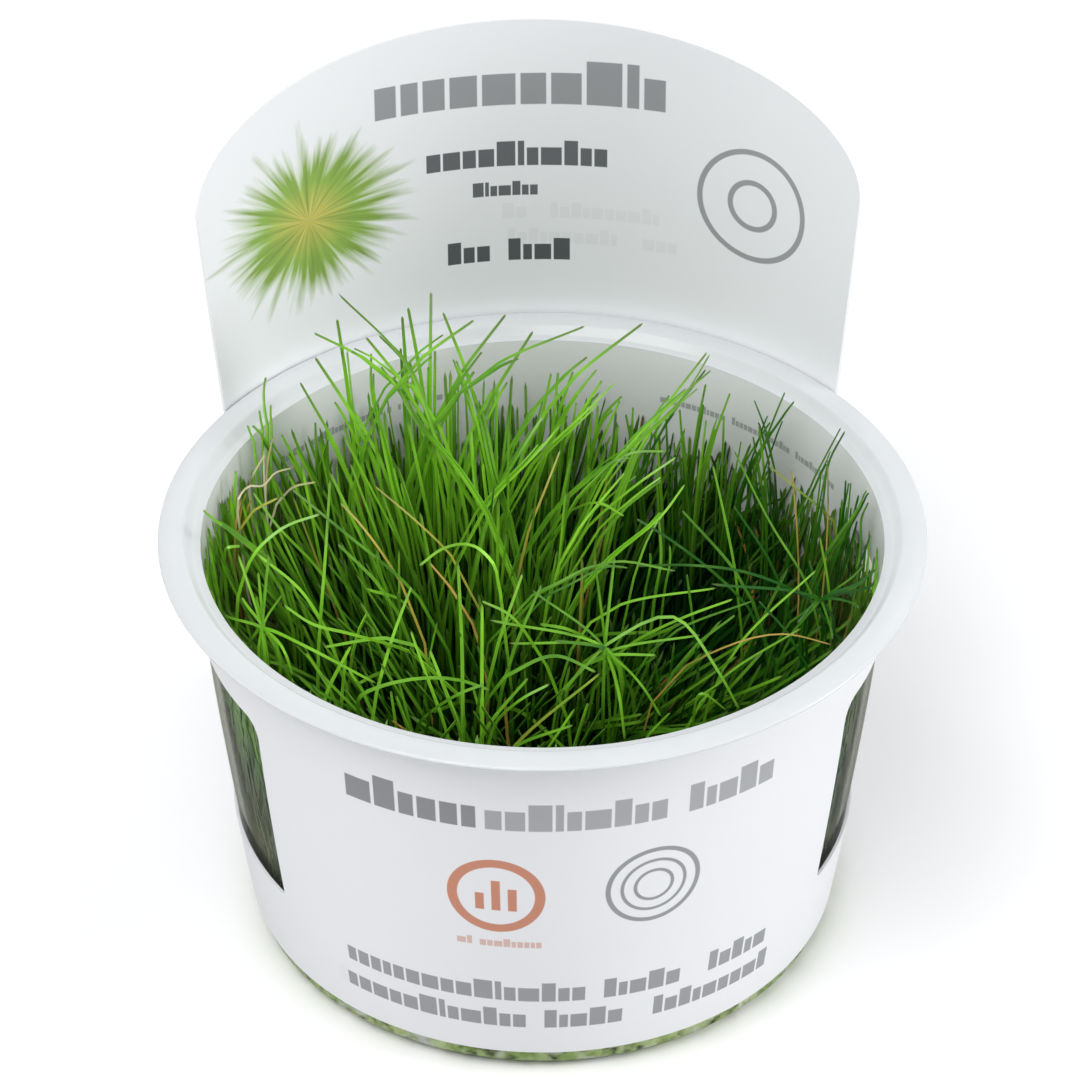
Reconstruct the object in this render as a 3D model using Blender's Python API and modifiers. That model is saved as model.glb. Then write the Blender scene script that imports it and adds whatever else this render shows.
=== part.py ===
"""Dwarf hairgrass rooted in jelly in a round tissue-culture cup.

Metres, +Z up. The origin is the centre of the cup's flat base, and the front of the cup faces -Y.
A white sleeve wraps the cup, and its arched tab stands up outside the rim at the back.
"""
import math
import random

import bmesh
import bpy
from mathutils import Matrix, Vector

MM = 0.001
CLEARANCE = 0.3 * MM
ROUND_STEPS = 48
MERGE_DISTANCE = 0.01 * MM
STRAIGHT_ANGLE = math.radians(179.5)
SMOOTH_ANGLE = math.radians(40)

# Cup
CUP_HEIGHT = 60.4 * MM
CUP_WALL = 0.7 * MM
RIM_RADIUS = 50.5 * MM
FLANGE_INNER_RADIUS = 46.85 * MM
FLANGE_THICKNESS = 0.7 * MM
LEDGE_DROP = 1.2 * MM
WALL_TOP_RADIUS = 45.6 * MM
WALL_TAPER = 6.4 * MM
WALL_BEND = 1.4
WALL_STATIONS = (16 * MM, 36 * MM)
BASE_RADIUS = 38 * MM
BASE_THICKNESS = 0.9 * MM
FOOT_ROUNDING = 1.6 * MM

# Sleeve
SLEEVE_THICKNESS = 0.4 * MM
SLEEVE_BOTTOM = 3.8 * MM
SLEEVE_TURN = math.radians(3)
WINDOW_FRONT = math.radians(57)
WINDOW_BACK = math.radians(104)
WINDOW_BOTTOM = 17.5 * MM
WINDOW_TOP = 48.3 * MM
WINDOW_TOP_CORNER = 3 * MM
WINDOW_FOOT_CORNER = 1 * MM
TAB_HALF_ANGLE = math.radians(55)
TAB_FLARE_START = math.radians(84)
TAB_SHOULDER = 28 * MM
TAB_HEIGHT = 45 * MM
TAB_WIDENING = 1.2 * MM
TAB_LEAN = math.radians(4)
TAB_FLATTENING = 0.3
TAB_STATIONS = (14 * MM, 28 * MM)
ARCH_STEPS = 20

# Jelly
GEL_TOP = 7 * MM

# Tufts, in rings of six, twelve and eighteen round a middle one
RINGS = 3
PLACES_PER_RING = 6
RING_PITCH = 11.3 * MM
CELL_FILL = 0.9
BUNDLE_SHARE = 0.88
BUNDLE_HEIGHT = 27 * MM
BUNDLE_SIDES = 5
STEEP_FACE = 0.5
BLADE_FACE = 0.1
BLADE_HALF_WIDTH = 0.5 * MM
CANOPY_HEIGHT = 56 * MM
CLUMP_CENTRE = Vector((-11 * MM, 9 * MM))
CLUMP_SPREAD = 17 * MM
CLUMP_RISE = 10 * MM
RIGHT_DROP = 4 * MM
FRONT_RISE = 2.5 * MM
GAP_CENTRE = Vector((17 * MM, 13 * MM))
GAP_SPREAD = 7 * MM
GAP_DEPTH = 12 * MM
TALL_SHARE = 0.25
TALL_CANOPY = 49 * MM
TALL_RISE = (0.08, 0.22)
TIP_SHARES = (0.82, 1.05)
OUTER_DROP = 0.13
INNER_REACH = 0.7
FOOT_REACH = 0.8
BLADE_BENDS = (0.5, 1)
BLADE_CURL = 0.25
FAN_OUT = 0.13
SWIRL = math.radians(7)
FAN_HEIGHT = 50 * MM
SEED = 11

# Colours
PLASTIC_COLOUR = (0.86, 0.89, 0.87)
CARD_COLOUR = (0.83, 0.84, 0.86)
JELLY_COLOUR = (0.78, 0.83, 0.66)
GRASS_COLOUR = Vector((0.17, 0.36, 0.035))
GRASS_SHADES = (0.85, 1.15)


def clear_scene():
    """Removes every object that the scene starts with."""
    for item in list(bpy.data.objects):
        bpy.data.objects.remove(item, do_unlink=True)


def make_collection(name):
    """Adds a collection to the scene."""
    collection = bpy.data.collections.new(name)
    bpy.context.scene.collection.children.link(collection)
    return collection


def make_material(name, colour, roughness, alpha=1.0, transmission=0.0):
    """Makes a Principled material."""
    material = bpy.data.materials.new(name)
    material.use_nodes = True
    shader = material.node_tree.nodes["Principled BSDF"]
    shader.inputs["Base Color"].default_value = (*colour, 1.0)
    shader.inputs["Roughness"].default_value = roughness
    shader.inputs["Metallic"].default_value = 0.0
    shader.inputs["Alpha"].default_value = alpha
    shader.inputs["Transmission Weight"].default_value = transmission
    return material


def make_object(name, mesh, collection, material):
    """Turns a finished bmesh into a named object with its own material."""
    data = bpy.data.meshes.new(name)
    mesh.to_mesh(data)
    mesh.free()
    data.materials.append(material)
    data.shade_smooth()
    data.set_sharp_from_angle(angle=SMOOTH_ANGLE)
    item = bpy.data.objects.new(name, data)
    collection.objects.link(item)
    return item


def turned_object(name, profile, collection, material):
    """Turns a profile of radius and height pairs about the Z axis into a solid."""
    mesh = bmesh.new()
    points = [mesh.verts.new((radius, 0, height)) for radius, height in profile]
    for start, end in zip(points, points[1:]):
        mesh.edges.new((start, end))
    item = make_object(name, mesh, collection, material)
    screw = item.modifiers.new("Turn", "SCREW")
    screw.axis = "Z"
    screw.steps = ROUND_STEPS
    screw.render_steps = ROUND_STEPS
    screw.use_merge_vertices = True
    screw.merge_threshold = MERGE_DISTANCE
    return item


def wall_radius(height):
    """Outer radius of the cup's wall, nearly upright at the top and tapering towards the foot."""
    below_ledge = 1 - height / (CUP_HEIGHT - LEDGE_DROP)
    return WALL_TOP_RADIUS - WALL_TAPER * max(below_ledge, 0) ** WALL_BEND


def make_cup(collection):
    """The tub, as one profile: up the inside, over the rim flange and down the outside."""
    ledge_top = CUP_HEIGHT - LEDGE_DROP
    ledge_under = ledge_top - CUP_WALL
    flange_under = CUP_HEIGHT - FLANGE_THICKNESS
    riser_radius = FLANGE_INNER_RADIUS + CUP_WALL
    inner_floor = wall_radius(0) - CUP_WALL - FOOT_ROUNDING
    inside = [(wall_radius(height) - CUP_WALL, height) for height in WALL_STATIONS]
    outside = [(wall_radius(height), height) for height in reversed(WALL_STATIONS)]
    profile = [(0, BASE_THICKNESS), (inner_floor, BASE_THICKNESS)]
    profile += [(wall_radius(0) - CUP_WALL, BASE_THICKNESS + FOOT_ROUNDING)] + inside
    profile += [(WALL_TOP_RADIUS - CUP_WALL, ledge_top), (FLANGE_INNER_RADIUS, ledge_top)]
    profile += [(FLANGE_INNER_RADIUS, CUP_HEIGHT), (RIM_RADIUS, CUP_HEIGHT)]
    profile += [(RIM_RADIUS, flange_under), (riser_radius, flange_under)]
    profile += [(riser_radius, ledge_under), (WALL_TOP_RADIUS, ledge_under)] + outside
    profile += [(wall_radius(FOOT_ROUNDING), FOOT_ROUNDING), (BASE_RADIUS, 0), (0, 0)]
    plastic = make_material("cup_plastic", PLASTIC_COLOUR, 0.25, alpha=0.5, transmission=0.6)
    return turned_object("cup", profile, collection, plastic)


def make_gel(collection):
    """The set jelly, a low disc that fills the bottom of the cup."""
    bottom = BASE_THICKNESS + CLEARANCE
    low_radius = wall_radius(0) - CUP_WALL - FOOT_ROUNDING - CLEARANCE
    side_height = BASE_THICKNESS + FOOT_ROUNDING + CLEARANCE
    side_radius = wall_radius(0) - CUP_WALL - CLEARANCE
    profile = [(0, GEL_TOP), (side_radius, GEL_TOP), (side_radius, side_height)]
    profile += [(low_radius, bottom), (0, bottom)]
    jelly = make_material("gel", JELLY_COLOUR, 0.1, alpha=0.5, transmission=0.8)
    return turned_object("gel", profile, collection, jelly)


def sleeve_tab_radius():
    """Inner radius of the sleeve where its tab passes the rim."""
    return RIM_RADIUS + CLEARANCE


def tab_outline():
    """Edge of the tab above the rim, from its right foot over the arch to its left foot."""
    half_width = TAB_HALF_ANGLE * sleeve_tab_radius()
    points = []
    for step in range(ARCH_STEPS + 1):
        angle = math.pi * step / ARCH_STEPS
        across = (half_width + TAB_WIDENING) * math.cos(angle)
        up = CUP_HEIGHT + TAB_SHOULDER + (TAB_HEIGHT - TAB_SHOULDER) * math.sin(angle)
        points.append((across, up))
    return points


def sleeve_outline():
    """Outline of the flat blank: distance round from the back, and height."""
    half_round = math.pi * sleeve_tab_radius()
    half_tab = TAB_HALF_ANGLE * sleeve_tab_radius()
    band_top = CUP_HEIGHT - LEDGE_DROP - CUP_WALL - CLEARANCE
    foot_edge = [(-half_round, SLEEVE_BOTTOM), (half_round, SLEEVE_BOTTOM)]
    right_edge = [(half_round, band_top), (half_tab, band_top)]
    left_edge = [(-half_tab, band_top), (-half_round, band_top)]
    return foot_edge + right_edge + tab_outline() + left_edge


def window_outline(side):
    """Outline of one side window, with rounded corners, in the flat blank."""
    inner = (math.pi - WINDOW_BACK) * sleeve_tab_radius()
    outer = (math.pi - WINDOW_FRONT) * sleeve_tab_radius()
    corners = [(outer, WINDOW_TOP, 0), (inner, WINDOW_TOP, 90)]
    corners += [(inner, WINDOW_BOTTOM, 180), (outer, WINDOW_BOTTOM, 270)]
    points = []
    for across, up, start in corners:
        rounding = WINDOW_TOP_CORNER if up == WINDOW_TOP else WINDOW_FOOT_CORNER
        inward = Vector((1 if across == inner else -1, 1 if up == WINDOW_BOTTOM else -1))
        centre = Vector((across, up)) + inward * rounding
        for turn in (0, 45, 90):
            angle = math.radians(start + turn)
            arc = Vector((math.cos(angle), math.sin(angle))) * rounding
            points.append((side * (centre.x + arc.x), centre.y + arc.y))
    return points


def wrap_sleeve(across, up):
    """Bends a point of the flat blank round the cup, or into the tab above the rim."""
    tab_radius = sleeve_tab_radius()
    if up > CUP_HEIGHT:
        above = up - CUP_HEIGHT
        radius = tab_radius + TAB_FLATTENING * above
        angle = across / radius
        behind = tab_radius + above * math.sin(TAB_LEAN) - radius * (1 - math.cos(angle))
        return Vector((radius * math.sin(angle), behind, CUP_HEIGHT + above * math.cos(TAB_LEAN)))
    angle = across / tab_radius
    snug = wall_radius(up) + CLEARANCE
    foot = wall_radius(SLEEVE_BOTTOM) + CLEARANCE
    flared = foot + (tab_radius - foot) * (up - SLEEVE_BOTTOM) / (CUP_HEIGHT - SLEEVE_BOTTOM)
    blend = (TAB_FLARE_START - abs(angle)) / (TAB_FLARE_START - TAB_HALF_ANGLE)
    blend = min(max(blend, 0), 1)
    blend = blend * blend * (3 - 2 * blend)
    radius = snug + (flared - snug) * blend
    return Vector((radius * math.sin(angle), radius * math.cos(angle), up))


def flat_blank():
    """The sleeve as a flat filled outline with its two windows, made a mesh."""
    curve = bpy.data.curves.new("blank", "CURVE")
    curve.dimensions = "2D"
    curve.fill_mode = "BOTH"
    for outline in (sleeve_outline(), window_outline(1), window_outline(-1)):
        spline = curve.splines.new("POLY")
        spline.points.add(len(outline) - 1)
        for point, (across, up) in zip(spline.points, outline):
            point.co = (across, up, 0, 1)
        spline.use_cyclic_u = True
    item = bpy.data.objects.new("blank", curve)
    bpy.context.scene.collection.objects.link(item)
    graph = bpy.context.evaluated_depsgraph_get()
    data = bpy.data.meshes.new_from_object(item.evaluated_get(graph))
    mesh = bmesh.new()
    mesh.from_mesh(data)
    bpy.data.objects.remove(item, do_unlink=True)
    bpy.data.meshes.remove(data)
    bmesh.ops.remove_doubles(mesh, verts=mesh.verts, dist=MERGE_DISTANCE)
    return mesh


def score_blank(mesh):
    """Cuts the flat blank along upright and level lines, so that it can bend."""
    step = 2 * math.pi * sleeve_tab_radius() / ROUND_STEPS
    half = ROUND_STEPS // 2
    columns = [index * step for index in range(1 - half, half)]
    levels = [*WALL_STATIONS, CUP_HEIGHT] + [CUP_HEIGHT + rise for rise in TAB_STATIONS]
    upright = [(Vector((across, 0, 0)), Vector((1, 0, 0))) for across in columns]
    level = [(Vector((0, height, 0)), Vector((0, 1, 0))) for height in levels]
    for place, normal in upright + level:
        everything = mesh.verts[:] + mesh.edges[:] + mesh.faces[:]
        bmesh.ops.bisect_plane(mesh, geom=everything, dist=MERGE_DISTANCE, plane_co=place, plane_no=normal)
    slanted = [edge for edge in mesh.edges if not edge.is_boundary and not is_score(edge, columns, levels)]
    bmesh.ops.dissolve_edges(mesh, edges=slanted)
    needless = [vert for vert in mesh.verts if len(vert.link_edges) == 2 and is_straight(vert)]
    bmesh.ops.dissolve_verts(mesh, verts=needless)


def is_score(edge, columns, levels):
    """Says whether an edge of the flat blank lies on one of the lines that it bends along."""
    start, end = (vert.co for vert in edge.verts)
    on_column = any(abs(start.x - line) + abs(end.x - line) < MERGE_DISTANCE for line in columns)
    return on_column or any(abs(start.y - line) + abs(end.y - line) < MERGE_DISTANCE for line in levels)


def is_straight(vert):
    """Says whether a point lies on a straight run between its two neighbours."""
    start, end = (edge.other_vert(vert).co - vert.co for edge in vert.link_edges)
    return start.angle(end) > STRAIGHT_ANGLE


def make_sleeve(collection):
    """The white wrap with its windows and its arched tab, bent from one flat blank."""
    mesh = flat_blank()
    score_blank(mesh)
    for vert in mesh.verts:
        vert.co = wrap_sleeve(vert.co.x, vert.co.y)
    bmesh.ops.remove_doubles(mesh, verts=mesh.verts, dist=MERGE_DISTANCE)
    bmesh.ops.rotate(mesh, verts=mesh.verts, matrix=Matrix.Rotation(SLEEVE_TURN, 3, "Z"))
    bmesh.ops.recalc_face_normals(mesh, faces=mesh.faces)
    card = make_material("sleeve_card", CARD_COLOUR, 0.45)
    item = make_object("sleeve", mesh, collection, card)
    solidify = item.modifiers.new("Thickness", "SOLIDIFY")
    solidify.thickness = SLEEVE_THICKNESS
    solidify.offset = 1
    return item


def mound(place, centre, spread):
    """A smooth mound over a place, one high at its centre."""
    away = (place - centre).length / spread
    return math.exp(-away * away / 2)


def canopy_height(place):
    """Height that the tips reach: a tall clump at the left, and a hollow behind it to the right."""
    right = min(max(place.x / (RINGS * RING_PITCH), 0), 1)
    back = place.y / (RINGS * RING_PITCH)
    rise = CLUMP_RISE * mound(place, CLUMP_CENTRE, CLUMP_SPREAD)
    drop = GAP_DEPTH * mound(place, GAP_CENTRE, GAP_SPREAD)
    return CANOPY_HEIGHT + rise - drop - RIGHT_DROP * right - FRONT_RISE * back


def fan(radius, angle, height):
    """Places a blade point: blades spread outwards and turn a little as they rise."""
    rise = (height - GEL_TOP) / FAN_HEIGHT
    radius *= 1 + FAN_OUT * rise
    angle += SWIRL * rise
    return Vector((radius * math.cos(angle), radius * math.sin(angle), height))


def cell_point(ring, turn, outwards, sideways, height):
    """Places a point of one tuft's own cell, given as shares of the cell, in the cup."""
    half_depth = CELL_FILL * RING_PITCH / 2
    if ring == 0:
        angle = math.atan2(sideways, outwards)
        return fan(half_depth * math.hypot(outwards, sideways), angle, height)
    half_angle = CELL_FILL * math.pi / (PLACES_PER_RING * ring)
    return fan(ring * RING_PITCH + half_depth * outwards, turn + half_angle * sideways, height)


def blade_path(ring, turn, direction, reach, tip_height):
    """Points of one blade, from above its bundle to the tip, leaning towards a side of its cell."""
    foot = GEL_TOP + BUNDLE_HEIGHT
    points = []
    for share in BLADE_BENDS:
        out = reach * (FOOT_REACH + (1 - FOOT_REACH) * share)
        height = foot + (tip_height - foot) * share
        curl = direction + BLADE_CURL * share
        points.append(cell_point(ring, turn, out * math.cos(curl), out * math.sin(curl), height))
    return points


def grow_blade(mesh, face, path):
    """Draws one face of a crown out along a path, into a blade that ends in a point."""
    centre = face.calc_center_median()
    corners = [vert.co - centre for vert in face.verts]
    previous = centre
    for place, following in zip(path, path[1:]):
        ahead = (following - previous).normalized()
        face = bmesh.ops.extrude_discrete_faces(mesh, faces=[face])["faces"][0]
        corners = [corner - ahead * corner.dot(ahead) for corner in corners]
        corners = [corner.normalized() * BLADE_HALF_WIDTH for corner in corners]
        for vert, corner in zip(face.verts, corners):
            vert.co = place + corner
        previous = place
    face = bmesh.ops.extrude_discrete_faces(mesh, faces=[face])["faces"][0]
    bmesh.ops.pointmerge(mesh, verts=face.verts[:], merge_co=path[-1])


def make_bundle(mesh, turn):
    """Makes a tuft's dense foot as a unit ball, and gives the upward faces that carry its blades."""
    bmesh.ops.create_icosphere(mesh, subdivisions=1, radius=1)
    bmesh.ops.rotate(mesh, verts=mesh.verts, matrix=Matrix.Rotation(turn, 3, "Z"))
    mesh.normal_update()
    top = [face for face in mesh.faces if face.normal.z > STEEP_FACE]
    bmesh.ops.poke(mesh, faces=top)
    mesh.normal_update()
    return [face for face in mesh.faces if face.normal.z > BLADE_FACE]


def make_tuft(name, ring, turn, collection, material, rng):
    """One plant: a dense bundle on the jelly, whose thread blades part and rise from its top."""
    mesh = bmesh.new()
    faces = make_bundle(mesh, rng.uniform(0, 2 * math.pi / BUNDLE_SIDES))
    starts = [face.calc_center_median().xy for face in faces]
    widest = max(start.length for start in starts)
    low = GEL_TOP + CLEARANCE
    for vert in mesh.verts:
        height = low + BUNDLE_HEIGHT * (vert.co.z + 1) / 2
        vert.co = cell_point(ring, turn, BUNDLE_SHARE * vert.co.x, BUNDLE_SHARE * vert.co.y, height)
    canopy = canopy_height(cell_point(ring, turn, 0, 0, low).xy)
    for face, start in zip(faces, starts):
        reach = start.length / widest
        share = rng.uniform(*TIP_SHARES) - OUTER_DROP * reach ** 2
        if reach < INNER_REACH and canopy > TALL_CANOPY and rng.random() < TALL_SHARE:
            share += rng.uniform(*TALL_RISE)
        direction = math.atan2(start.y, start.x)
        grow_blade(mesh, face, blade_path(ring, turn, direction, reach, canopy * share))
    return make_object(name, mesh, collection, material)


def make_tufts(collection):
    """All the plants, in rings round the middle of the jelly."""
    rng = random.Random(SEED)
    number = 1
    for ring in range(RINGS + 1):
        places = max(PLACES_PER_RING * ring, 1)
        for slot in range(places):
            turn = 2 * math.pi * (slot + 0.5 * (ring % 2)) / places
            colour = GRASS_COLOUR * rng.uniform(*GRASS_SHADES)
            name = f"tuft_{number:02d}"
            material = make_material(name + "_green", colour, 0.45)
            make_tuft(name, ring, turn, collection, material, rng)
            number += 1


def main():
    """Builds the cup, its sleeve, the jelly and the plants."""
    clear_scene()
    collection = make_collection("dwarf_hairgrass_cup")
    make_cup(collection)
    make_sleeve(collection)
    make_gel(collection)
    make_tufts(collection)


main()
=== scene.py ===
"""Dresses a cup of dwarf hairgrass: its clear cup, printed sleeve, jelly with roots, and thread blades.

Everything is in metres, +Z up, with the origin at the centre of the cup's base and -Y to the front.
"""

import math
import random
from collections import namedtuple

import bmesh
import bpy
from bpy.props import FloatProperty, FloatVectorProperty, IntProperty, PointerProperty
from mathutils import Matrix, Vector


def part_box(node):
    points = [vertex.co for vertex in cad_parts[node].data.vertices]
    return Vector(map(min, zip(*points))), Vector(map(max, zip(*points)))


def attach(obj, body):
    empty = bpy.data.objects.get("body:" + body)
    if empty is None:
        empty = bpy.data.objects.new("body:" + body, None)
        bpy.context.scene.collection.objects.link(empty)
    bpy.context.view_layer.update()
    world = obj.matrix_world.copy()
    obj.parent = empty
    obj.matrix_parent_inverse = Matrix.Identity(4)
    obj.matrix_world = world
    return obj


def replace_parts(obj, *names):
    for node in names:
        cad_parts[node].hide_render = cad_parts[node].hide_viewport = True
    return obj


bl_info = {
    "name": "Dwarf Hairgrass Cup",
    "version": (1, 0, 0),
    "blender": (4, 5, 0),
    "location": "3D View > Sidebar > Hairgrass",
    "description": "Dresses a tissue-culture cup of dwarf hairgrass",
    "category": "Object",
}

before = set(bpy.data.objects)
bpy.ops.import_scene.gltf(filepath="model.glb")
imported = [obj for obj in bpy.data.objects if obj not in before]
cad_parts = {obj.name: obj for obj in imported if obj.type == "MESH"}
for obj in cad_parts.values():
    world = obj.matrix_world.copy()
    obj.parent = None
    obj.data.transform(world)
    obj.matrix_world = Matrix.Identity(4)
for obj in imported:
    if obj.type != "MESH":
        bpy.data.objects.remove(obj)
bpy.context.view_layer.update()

MM = 0.001
TURN = 2 * math.pi
UP = Vector((0, 0, 1))
MERGE_DISTANCE = 0.002 * MM
TUFTS = sorted(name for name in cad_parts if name.startswith("tuft_"))

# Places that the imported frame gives
CUP_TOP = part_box("cup")[1]
JELLY_LOW, JELLY_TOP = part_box("gel")
SLEEVE_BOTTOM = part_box("sleeve")[0].z

# Cup
ROUND_STEPS = 160
FLANGE_INNER_RADIUS = 46.85 * MM
FLANGE_CROWN = 0.25 * MM
CROWN_NEAR_EDGE = 0.6
CROWN_AT_EDGE = 1.4
LEDGE_DROP = 1.2 * MM
LEDGE_LIP = 0.35 * MM
LEDGE_SLOPE = 0.8 * MM
WALL_TOP_RADIUS = 45.6 * MM
WALL_TAPER = 6.4 * MM
WALL_BEND = 1.4
WALL_STEPS = 6
BASE_RADIUS = 38 * MM
BASE_THICKNESS = 0.9 * MM
BASE_RING_RADIUS = 35.5 * MM
BASE_RECESS = 0.35 * MM
FOOT_ROUNDING = 1.6 * MM
FOOT_BEND = 0.3
EDGE_ROUNDING = 0.16 * MM
EDGE_ANGLE = math.radians(30)

# Sleeve
CLEARANCE = 0.3 * MM
SNUG_GAP = 0.05 * MM
SLEEVE_TURN = math.radians(3)
TAB_RADIUS = CUP_TOP.x + CLEARANCE
TAB_HALF_ANGLE = math.radians(55)
TAB_FLARE_START = math.radians(84)
TAB_SHOULDER = 28 * MM
TAB_HEIGHT = 45 * MM
TAB_WIDENING = 1.2 * MM
TAB_LEAN = math.radians(4)
TAB_FLATTENING = 0.3
TAB_COLUMNS = 56
TAB_ROWS = 16
BAND_COLUMNS = 48
BAND_TOP = 58.2 * MM
BAND_ROWS = 20
WINDOW_FRONT = math.radians(57)
WINDOW_BACK = math.radians(104)
WINDOW_BOTTOM = 17.5 * MM
WINDOW_TOP = 48.3 * MM
WINDOW_TOP_CORNER = 3 * MM
WINDOW_FOOT_CORNER = 1 * MM
WINDOW_MARGIN = 1.5 * MM
CORNER_STEPS = 6

# Clouding of every material: the part of the noise that is spread from its low to its high value
CLOUD_LOW = 0.3
CLOUD_HIGH = 0.7

# Print, in millimetres: across from the middle of the side that it is on, and up from the base. A row's
# pitch is the usual width of its blocks, and strength is that of the ink
Row = namedtuple("Row", "left right low high pitch strength")
Ring = namedtuple("Ring", "middle level radius line strength")
Bar = namedtuple("Bar", "left right low high strength")
FRONT_PRINT = (
    Row(-27.5, -11.8, 45.8, 51.0, 3.2, 0.78), Row(-10.4, 29.6, 45.8, 50.4, 2.6, 0.60),
    Row(-33.0, 33.5, 14.0, 17.6, 2.3, 0.70), Row(-34.0, 34.0, 8.8, 12.3, 2.3, 0.70),
    Ring(12.6, 34.2, 6.3, 0.7, 0.72), Ring(12.6, 34.2, 4.4, 0.5, 0.72), Ring(12.6, 34.2, 2.6, 0.5, 0.72),
)
WARM_PRINT = (
    Row(-14.0, -2.6, 24.4, 25.9, 1.0, 0.6), Ring(-8.6, 33.8, 5.9, 1.4, 1.0),
    Bar(-11.4, -10.2, 31.2, 34.2, 1.0), Bar(-9.2, -8.0, 31.2, 36.6, 1.0), Bar(-7.0, -5.8, 31.2, 35.2, 1.0),
)
BACK_PRINT = (
    Row(-30.0, 30.0, 38.0, 41.5, 2.4, 0.8), Row(-30.0, 22.0, 31.0, 33.0, 1.3, 0.7),
    Row(-30.0, 26.0, 27.0, 29.0, 1.3, 0.7), Row(-30.0, 12.0, 23.0, 25.0, 1.3, 0.7),
)
TAB_PRINT = (
    Row(-22.0, 18.0, 92.6, 99.2, 4.2, 0.72), Row(-14.5, 11.0, 83.2, 87.0, 2.2, 0.95),
    Row(-7.0, 3.6, 78.6, 80.8, 1.3, 0.95), Row(-10.0, 6.0, 68.4, 71.8, 2.2, 1.0),
    Row(-3.0, 19.0, 75.0, 77.4, 1.6, 0.07), Row(-6.0, 21.0, 71.0, 73.4, 1.6, 0.07),
    Ring(32.7, 81.4, 7.9, 0.8, 0.68), Ring(32.7, 81.4, 3.4, 0.8, 0.68),
)
WALL_PRINT = (
    Row(-42.0, -14.5, 51.0, 52.2, 0.8, 0.5), Row(-46.0, -37.0, 48.0, 49.1, 0.8, 0.45),
    Row(15.5, 50.0, 51.2, 52.4, 0.8, 0.5),
)
PRINT_SHARPNESS = 8.0
ROW_SHIFT = 3.7
BLOCK_SHARPNESS = 30.0
BLOCK_GAP = 1.9
INKED_BLOCKS = 0.80
LOW_BLOCKS = 0.68
LOW_BLOCK_HEIGHT = 0.72
BURST_MIDDLE = -31.0
BURST_LEVEL = 80.5
BURST_HALF_WIDTH = 15.0
BURST_HALF_HEIGHT = 12.0
BURST_RAYS = 9.0
BURST_SHADE = 0.6

# Jelly and roots
JELLY_WAVE = 0.25 * MM
JELLY_RINGS = 10
WAVY_SHARE = 0.97
ROOT_COUNT = 150
ROOT_HALF_WIDTH = 0.16 * MM
ROOT_WIDTHS = (0.7, 1.3)
ROOT_MARGIN = 3 * MM
ROOT_PLACES = (0.25, 1)
ROOT_TURN = 0.35
ROOT_ENDS = (1.6 * MM, 3.2 * MM)
ROOT_BEND = 3 * MM

# Canopy: how high the tips reach, with a tall clump at the left and a dark gap to the right of it
RINGS_REACH = 33.9 * MM
CANOPY_HEIGHT = 51 * MM
CLUMP_CENTRE = Vector((-9 * MM, 13 * MM))
CLUMP_SPREAD = 15 * MM
CLUMP_RISE = 17 * MM
RIGHT_DROP = 2 * MM
FRONT_RISE = 1.5 * MM
BACK_DROP = 2 * MM
WALL_RISE = 1.5 * MM
WALL_STEEPNESS = 4
GAP_CENTRE = Vector((18 * MM, 11 * MM))
GAP_HALF_WIDTH = 8 * MM
GAP_HALF_LENGTH = 13 * MM
GAP_DEPTH = 16 * MM
GAP_FLOOR = 26 * MM

# Every blade
BLADE_RINGS = 20
BLADE_SIDES = 3
BLADE_LAYERS = ("along", "tone", "dryness")
TIP_CROWDING = 1.35
TIP_NARROWING = 0.35
FOOT_LEVEL = JELLY_TOP.z - 0.6 * MM
WALL_CUSHION = 4 * MM
WALL_GAP = 0.4 * MM
OVERHANG = 5 * MM

# Blades that grow from the crowns by chance; a pair is the least and the most, here and further on
CELL_RADIUS = 6 * MM
FAN_PULL = 2.8
WALL_PULL = 1.1
BLADE_WIDTHS = (0.75, 1.35)
SWAY = 1.1 * MM
TRIES = 12
OVER_CANOPY = 1.12
USUAL_TIP = 0.85
CALM_LEAN = 0.85
MESSY_LEAN = 0.6
DRY_SHARE = 0.02
DRYNESS = (0.5, 0.9)
FRONT_THINNING = 0.2

# Blades that are traced from the photo, and the bundles round the tall ones
TALL_LEAN = 1.6
LYING_LEAN = 0.7
SEEN_WIDTHS = (0.9, 1.15)
RIGHT_THINNING = 0.3
DRY_THINNING = 0.35
BUNDLE_BLADES = 2
BUNDLE_SPREAD = 1.7 * MM
BUNDLE_TIPS = (0.55, 0.95)
BUNDLE_WIDTHS = (0.65, 0.95)

# Rosettes: the pixel where the photo shows the heart of each, and its height in millimetres
ROSETTES = (((262, 627), 55), ((605, 648), 56), ((820, 600), 56))
ROSETTE_BLADES = 5
ROSETTE_REACH = 13 * MM
ROSETTE_CLEARING = 5 * MM
ROSETTE_SPREAD = 7 * MM
ROSETTE_SHARES = (0.5, 1.15)
ROSETTE_RISES = (-2 * MM, 6 * MM)
ROSETTE_WIDTHS = (0.85, 1.1)

# Blades that are pressed against the wall at the windows
WALL_BLADES = 420
WALL_BLADE_HEIGHTS = (24 * MM, 51 * MM)
WALL_BLADE_TURN = math.radians(12)
WALL_BLADE_PUSH = (-2 * MM, 12 * MM)
WALL_BLADE_WIDTHS = (0.8, 1.4)
WALL_KNEE_TURN = 0.3
WALL_KNEE_HEIGHT = 0.6

# Where a blade's colour changes: by height, by distance from the axis, and as shares
# Painted shade: from LIT_FROM up to LIT_ABOVE the dark foot colour of the shaded lower grass gives way to
# the blades' green
LIT_FROM = 30 * MM
LIT_ABOVE = 55 * MM
DULL_FROM = 58 * MM
DULL_ABOVE = 68 * MM
DULL_STRENGTH = 0.8
TIP_FROM = 0.95
PRESSED_FROM = 37 * MM
PRESSED_TO = 39.5 * MM
PRESSED_TOP = 52 * MM
SIDE_FROM = 0.8
SIDE_TO = 0.88
DEAD_FROM = 0.9
BROWN_BELOW = 0.85
BROWN_SHADE = 0.45
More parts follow.
